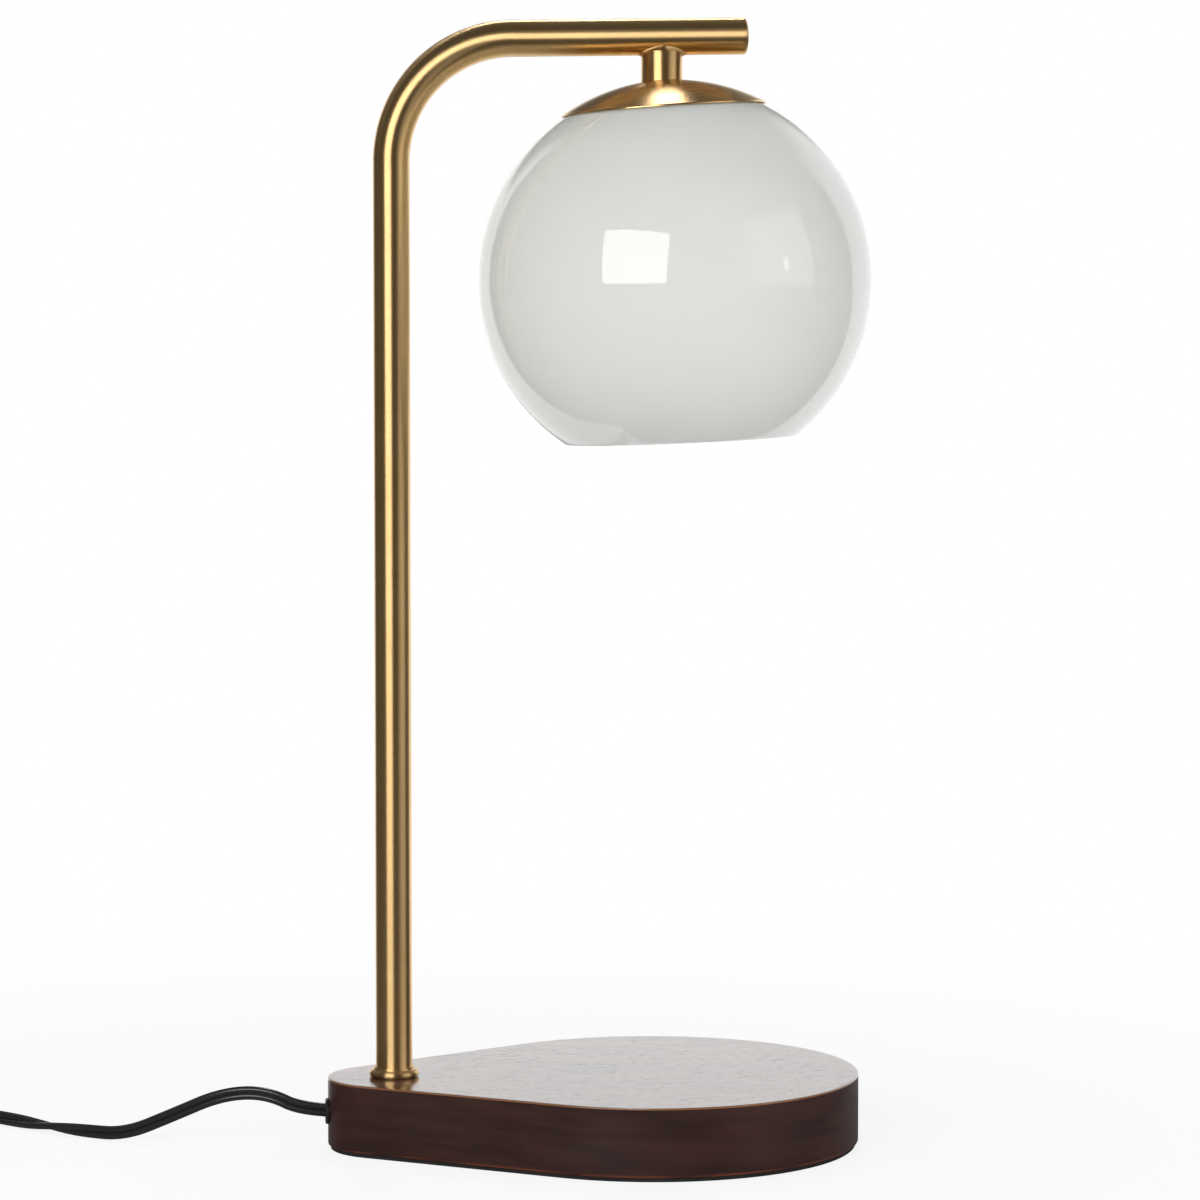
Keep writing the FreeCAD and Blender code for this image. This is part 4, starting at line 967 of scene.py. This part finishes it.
    def build(self, finishes: Finishes) -> None:
        lead_path = self.spline("lead_line", np.array(self.to_switch))
        run = np.concatenate(([0], np.cumsum(np.linalg.norm(np.diff(lead_path, axis=0), axis=1))))
        share = np.clip((run - self.twist_start) / self.twist_length, 0, 1)
        lead = self.lead("cord_lead_skin", lead_path, finishes["black_vinyl"], self.twist * eased(share))
        fit(lead, "lamp", Slot.VINYL, "cord_lead")
        tail_path = self.spline("tail_line", np.vstack((self.to_coil, self.coil(), self.to_plug)))
        tail = self.lead("cord_tail_skin", tail_path, finishes["black_vinyl"])
        fit(tail, "lamp", Slot.VINYL, "cord_tail", "cord_coil", "plug_lead")


# ---- studio


@dataclass(frozen=True)
class Softbox:
    """A rectangular studio light that faces its target."""

    name: str
    centre: Point
    target: Point
    size: Span  # width and height
    radiance: float
    mirrored: bool = True  # whether glossy surfaces show it

    def build(self) -> None:
        """Hangs the light; its power is pi times its area times its radiance."""
        data = bpy.data.lights.new(self.name, "AREA")
        data.shape = "RECTANGLE"
        data.size, data.size_y = self.size
        data.energy = math.pi * self.size[0] * self.size[1] * self.radiance
        lamp = linked(self.name, data)
        lamp.location = self.centre
        back = np.subtract(self.centre, self.target)
        turn = math.atan2(-back[0], back[1])
        lamp.rotation_euler = (-math.atan2(math.hypot(*back[:2]), back[2]), 0, turn)
        lamp.visible_camera = False
        lamp.visible_glossy = self.mirrored


@dataclass
class Studio:
    """Pale floor, soft lights and the camera at the photograph's viewpoint."""

    camera_place: Point = (-0.116, -1.830, 0.361)
    camera_yaw: float = 6.45
    camera_pitch: float = 3.76
    focal_pixels: float = 4215.0
    frame_pixels: float = 1200.0
    globe: Point = (0.124, 0.0, 0.379)
    room: float = 0.10
    backdrop: float = 1.25
    behind: Span = (0.5, 0.3)
    behind_low: Span = (0.22, 0.32)
    floor_behind: Span = (0.16, 0.07)
    floor_middle: float = 0.11
    floor_bounce: float = 0.65
    backdrop_edge: Span = (130.0, 134.0)
    backdrop_shift: float = 14.0
    ceiling: float = 0.42
    ceiling_edge: Span = (0.45, 0.7)
    ceiling_front: Span = (-0.05, 0.4)
    wall: float = 1.25
    wall_near: Span = (25.0, 50.0)
    wall_far: Span = (79.0, 81.0)
    wall_low: Span = (-0.75, -0.4)
    wall_high: Span = (0.5, 0.58)
    floor_dim: float = 0.35  # how bright its mirror image is right behind the lamp
    floor_paint: Colour = (0.9, 0.9, 0.9)
    glow_reach: Span = (0.2, 0.7)
    glow_share: Span = (0.85, 1.0)
    floor_rings: tuple[float, ...] = (0, 0.5, 2.5, 12)
    floor_depth: float = 0.05

    def softbox(self, name: str, azimuth: float, elevation: float, distance: float,
                angles: Span, radiance: float) -> Softbox:
        """A light seen from the globe in a direction, as wide and as high as two angles.

        Args:
            name: its name.
            azimuth: degrees to the right of the globe's front.
            elevation: degrees above the horizon.
            distance: from the globe.
            angles: its width and height in degrees, seen from there.
            radiance: how bright it is.

        Returns:
            The light.
        """
        a, e = math.radians(azimuth), math.radians(elevation)
        way = np.array((math.sin(a) * math.cos(e), -math.cos(a) * math.cos(e), math.sin(e)))
        centre = np.array(self.globe) + distance * way
        width, height = (2 * distance * math.tan(math.radians(angle / 2)) for angle in angles)
        return Softbox(name, tuple(centre), self.globe, (width, height), radiance)

    def camera(self) -> None:
        """Sets up the camera without shift or depth of field."""
        data = bpy.data.cameras.new("view")
        data.sensor_width = 36.0
        data.lens = data.sensor_width * self.focal_pixels / self.frame_pixels
        camera = linked("view", data)
        camera.location = self.camera_place
        camera.rotation_euler = (math.radians(90 - self.camera_pitch), 0, -math.radians(self.camera_yaw))
        bpy.context.scene.camera = camera

    @staticmethod
    def azimuth(graph: Graph, way: bpy.types.NodeOutputs) -> Socket:
        """A direction's angle from the front towards +X, in radians."""
        return graph.maths("ARCTAN2", way["X"], graph.product(way["Y"], -1.0))

    def surroundings(self, graph: Graph, way: bpy.types.NodeOutputs) -> Socket:
        """The room's brightness in a level direction: dim, and white past |azimuth + shift| = edge."""
        shifted = graph.maths("ADD", self.azimuth(graph, way), math.radians(self.backdrop_shift))
        return graph.ramp(graph.maths("ABSOLUTE", shifted), *np.radians(self.backdrop_edge),
                          self.room, self.backdrop)

    def floor(self) -> None:
        """A pale round floor that brightens into the white behind it.

        Reflections show it as bright as the room beyond it, and dimmer right behind the lamp, and
        diffuse surfaces are lit by it evenly.
        """
        graph = Graph("pale_floor")
        place = graph.coordinates()
        reach = graph.add("VectorMath", {0: place}, operation="LENGTH").outputs["Value"]
        paint = graph.add("BsdfDiffuse", {"Color": (*self.floor_paint, 1)}).outputs[0]
        way = graph.parts(graph.add("VectorMath", {0: place}, operation="NORMALIZE").outputs["Vector"])
        aside = graph.maths("ABSOLUTE", graph.maths("SUBTRACT", way["X"], self.floor_middle))
        dim = graph.ramp(aside, *self.floor_behind)
        mirrored = graph.product(self.surroundings(graph, graph.parts(place)),
                                 graph.ramp(dim, 0, 1, 1.0, self.floor_dim))
        rays = graph.add("LightPath").outputs
        seen = graph.between(rays["Is Glossy Ray"], self.floor_bounce, mirrored)
        seen = graph.between(rays["Is Camera Ray"], seen, 1.0)
        glow = graph.add("Emission", {"Color": (1, 1, 1, 1), "Strength": seen}).outputs[0]
        share = graph.ramp(reach, *self.glow_reach, *self.glow_share)
        mix = graph.add("MixShader", {0: share, 1: paint, 2: glow})
        graph.add("OutputMaterial", {"Surface": mix.outputs[0]})
        top = turned(np.array([(ring, 0) for ring in self.floor_rings]), COARSE_ROUND)
        under = top[[-1, 0]] - (0, 0, self.floor_depth)
        floor = skin("floor", np.concatenate((top, under)), graph.material)

    def world(self) -> None:
        """White to the camera; to the lamp a dim room with a white backdrop and a soft wall at its right.

        Above the backdrop is a ceiling that is lit at the back only, and right behind the lamp the
        backdrop ends low.
        """
        world = bpy.data.worlds.new("studio")
        bpy.context.scene.world = world
        graph = Graph("room", world)
        way = graph.parts(graph.add("TexCoord").outputs["Generated"])
        above = graph.ramp(way["Y"], *self.ceiling_front, self.room, self.ceiling)
        back = graph.between(graph.ramp(way["Z"], *self.ceiling_edge), self.surroundings(graph, way), above)
        shade = graph.product(graph.ramp(graph.maths("ABSOLUTE", way["X"]), *self.behind),
                              graph.ramp(way["Z"], *self.behind_low))
        back = graph.between(shade, back, self.room)
        wide = graph.window(self.azimuth(graph, way), *np.radians((self.wall_near, self.wall_far)))
        tall = graph.window(way["Z"], self.wall_low, self.wall_high)
        bright = graph.maths("MULTIPLY_ADD", graph.product(wide, tall), self.wall, back)
        pick = graph.between(graph.add("LightPath").outputs["Is Camera Ray"], bright, 1.0)
        light = graph.add("Background", {"Color": (1, 1, 1, 1), "Strength": pick})
        graph.add("OutputWorld", {"Surface": light.outputs[0]})

    def build(self) -> None:
        """Makes the floor, the lights, the surroundings and the camera."""
        lights = (
            self.softbox("key_light", -30.5, 12.5, 1.5, (37, 29), 6.1),
            self.softbox("top_light", 176.5, 48, 1.6, (8, 26), 12.0),
            self.softbox("side_light", 59, 8, 2.2, (3, 6), 3.0),
            Softbox("ceiling_light", (0.0, 0.1, 2.4), (0.05, 0.0, 0.0), (1.6, 1.2), 1.65, False),
            Softbox("right_fill", (1.6, -1.1, 0.32), self.globe, (2.4, 0.62), 2.9, False),
            Softbox("left_fill", (-1.9, -0.3, 0.55), self.globe, (1.6, 1.0), 1.1, False),
        )
        for light in lights:
            light.build()
        self.floor()
        self.world()
        self.camera()
        bpy.context.scene.view_settings.view_transform = "Standard"


def main() -> None:
    """Builds every part of the picture in order."""
    logging.basicConfig(level=logging.INFO, format="%(name)s: %(message)s")
    Studio().build()
    finishes = {finish.name: finish.build() for finish in FINISHES}
    dress_nodes(finishes)
    for part in (FlatCord(), Base(), PostAndArm(), Head()):
        part.build(finishes)
        LOG.info("made %s", type(part).__name__)


if __name__ == "__main__":
    main()
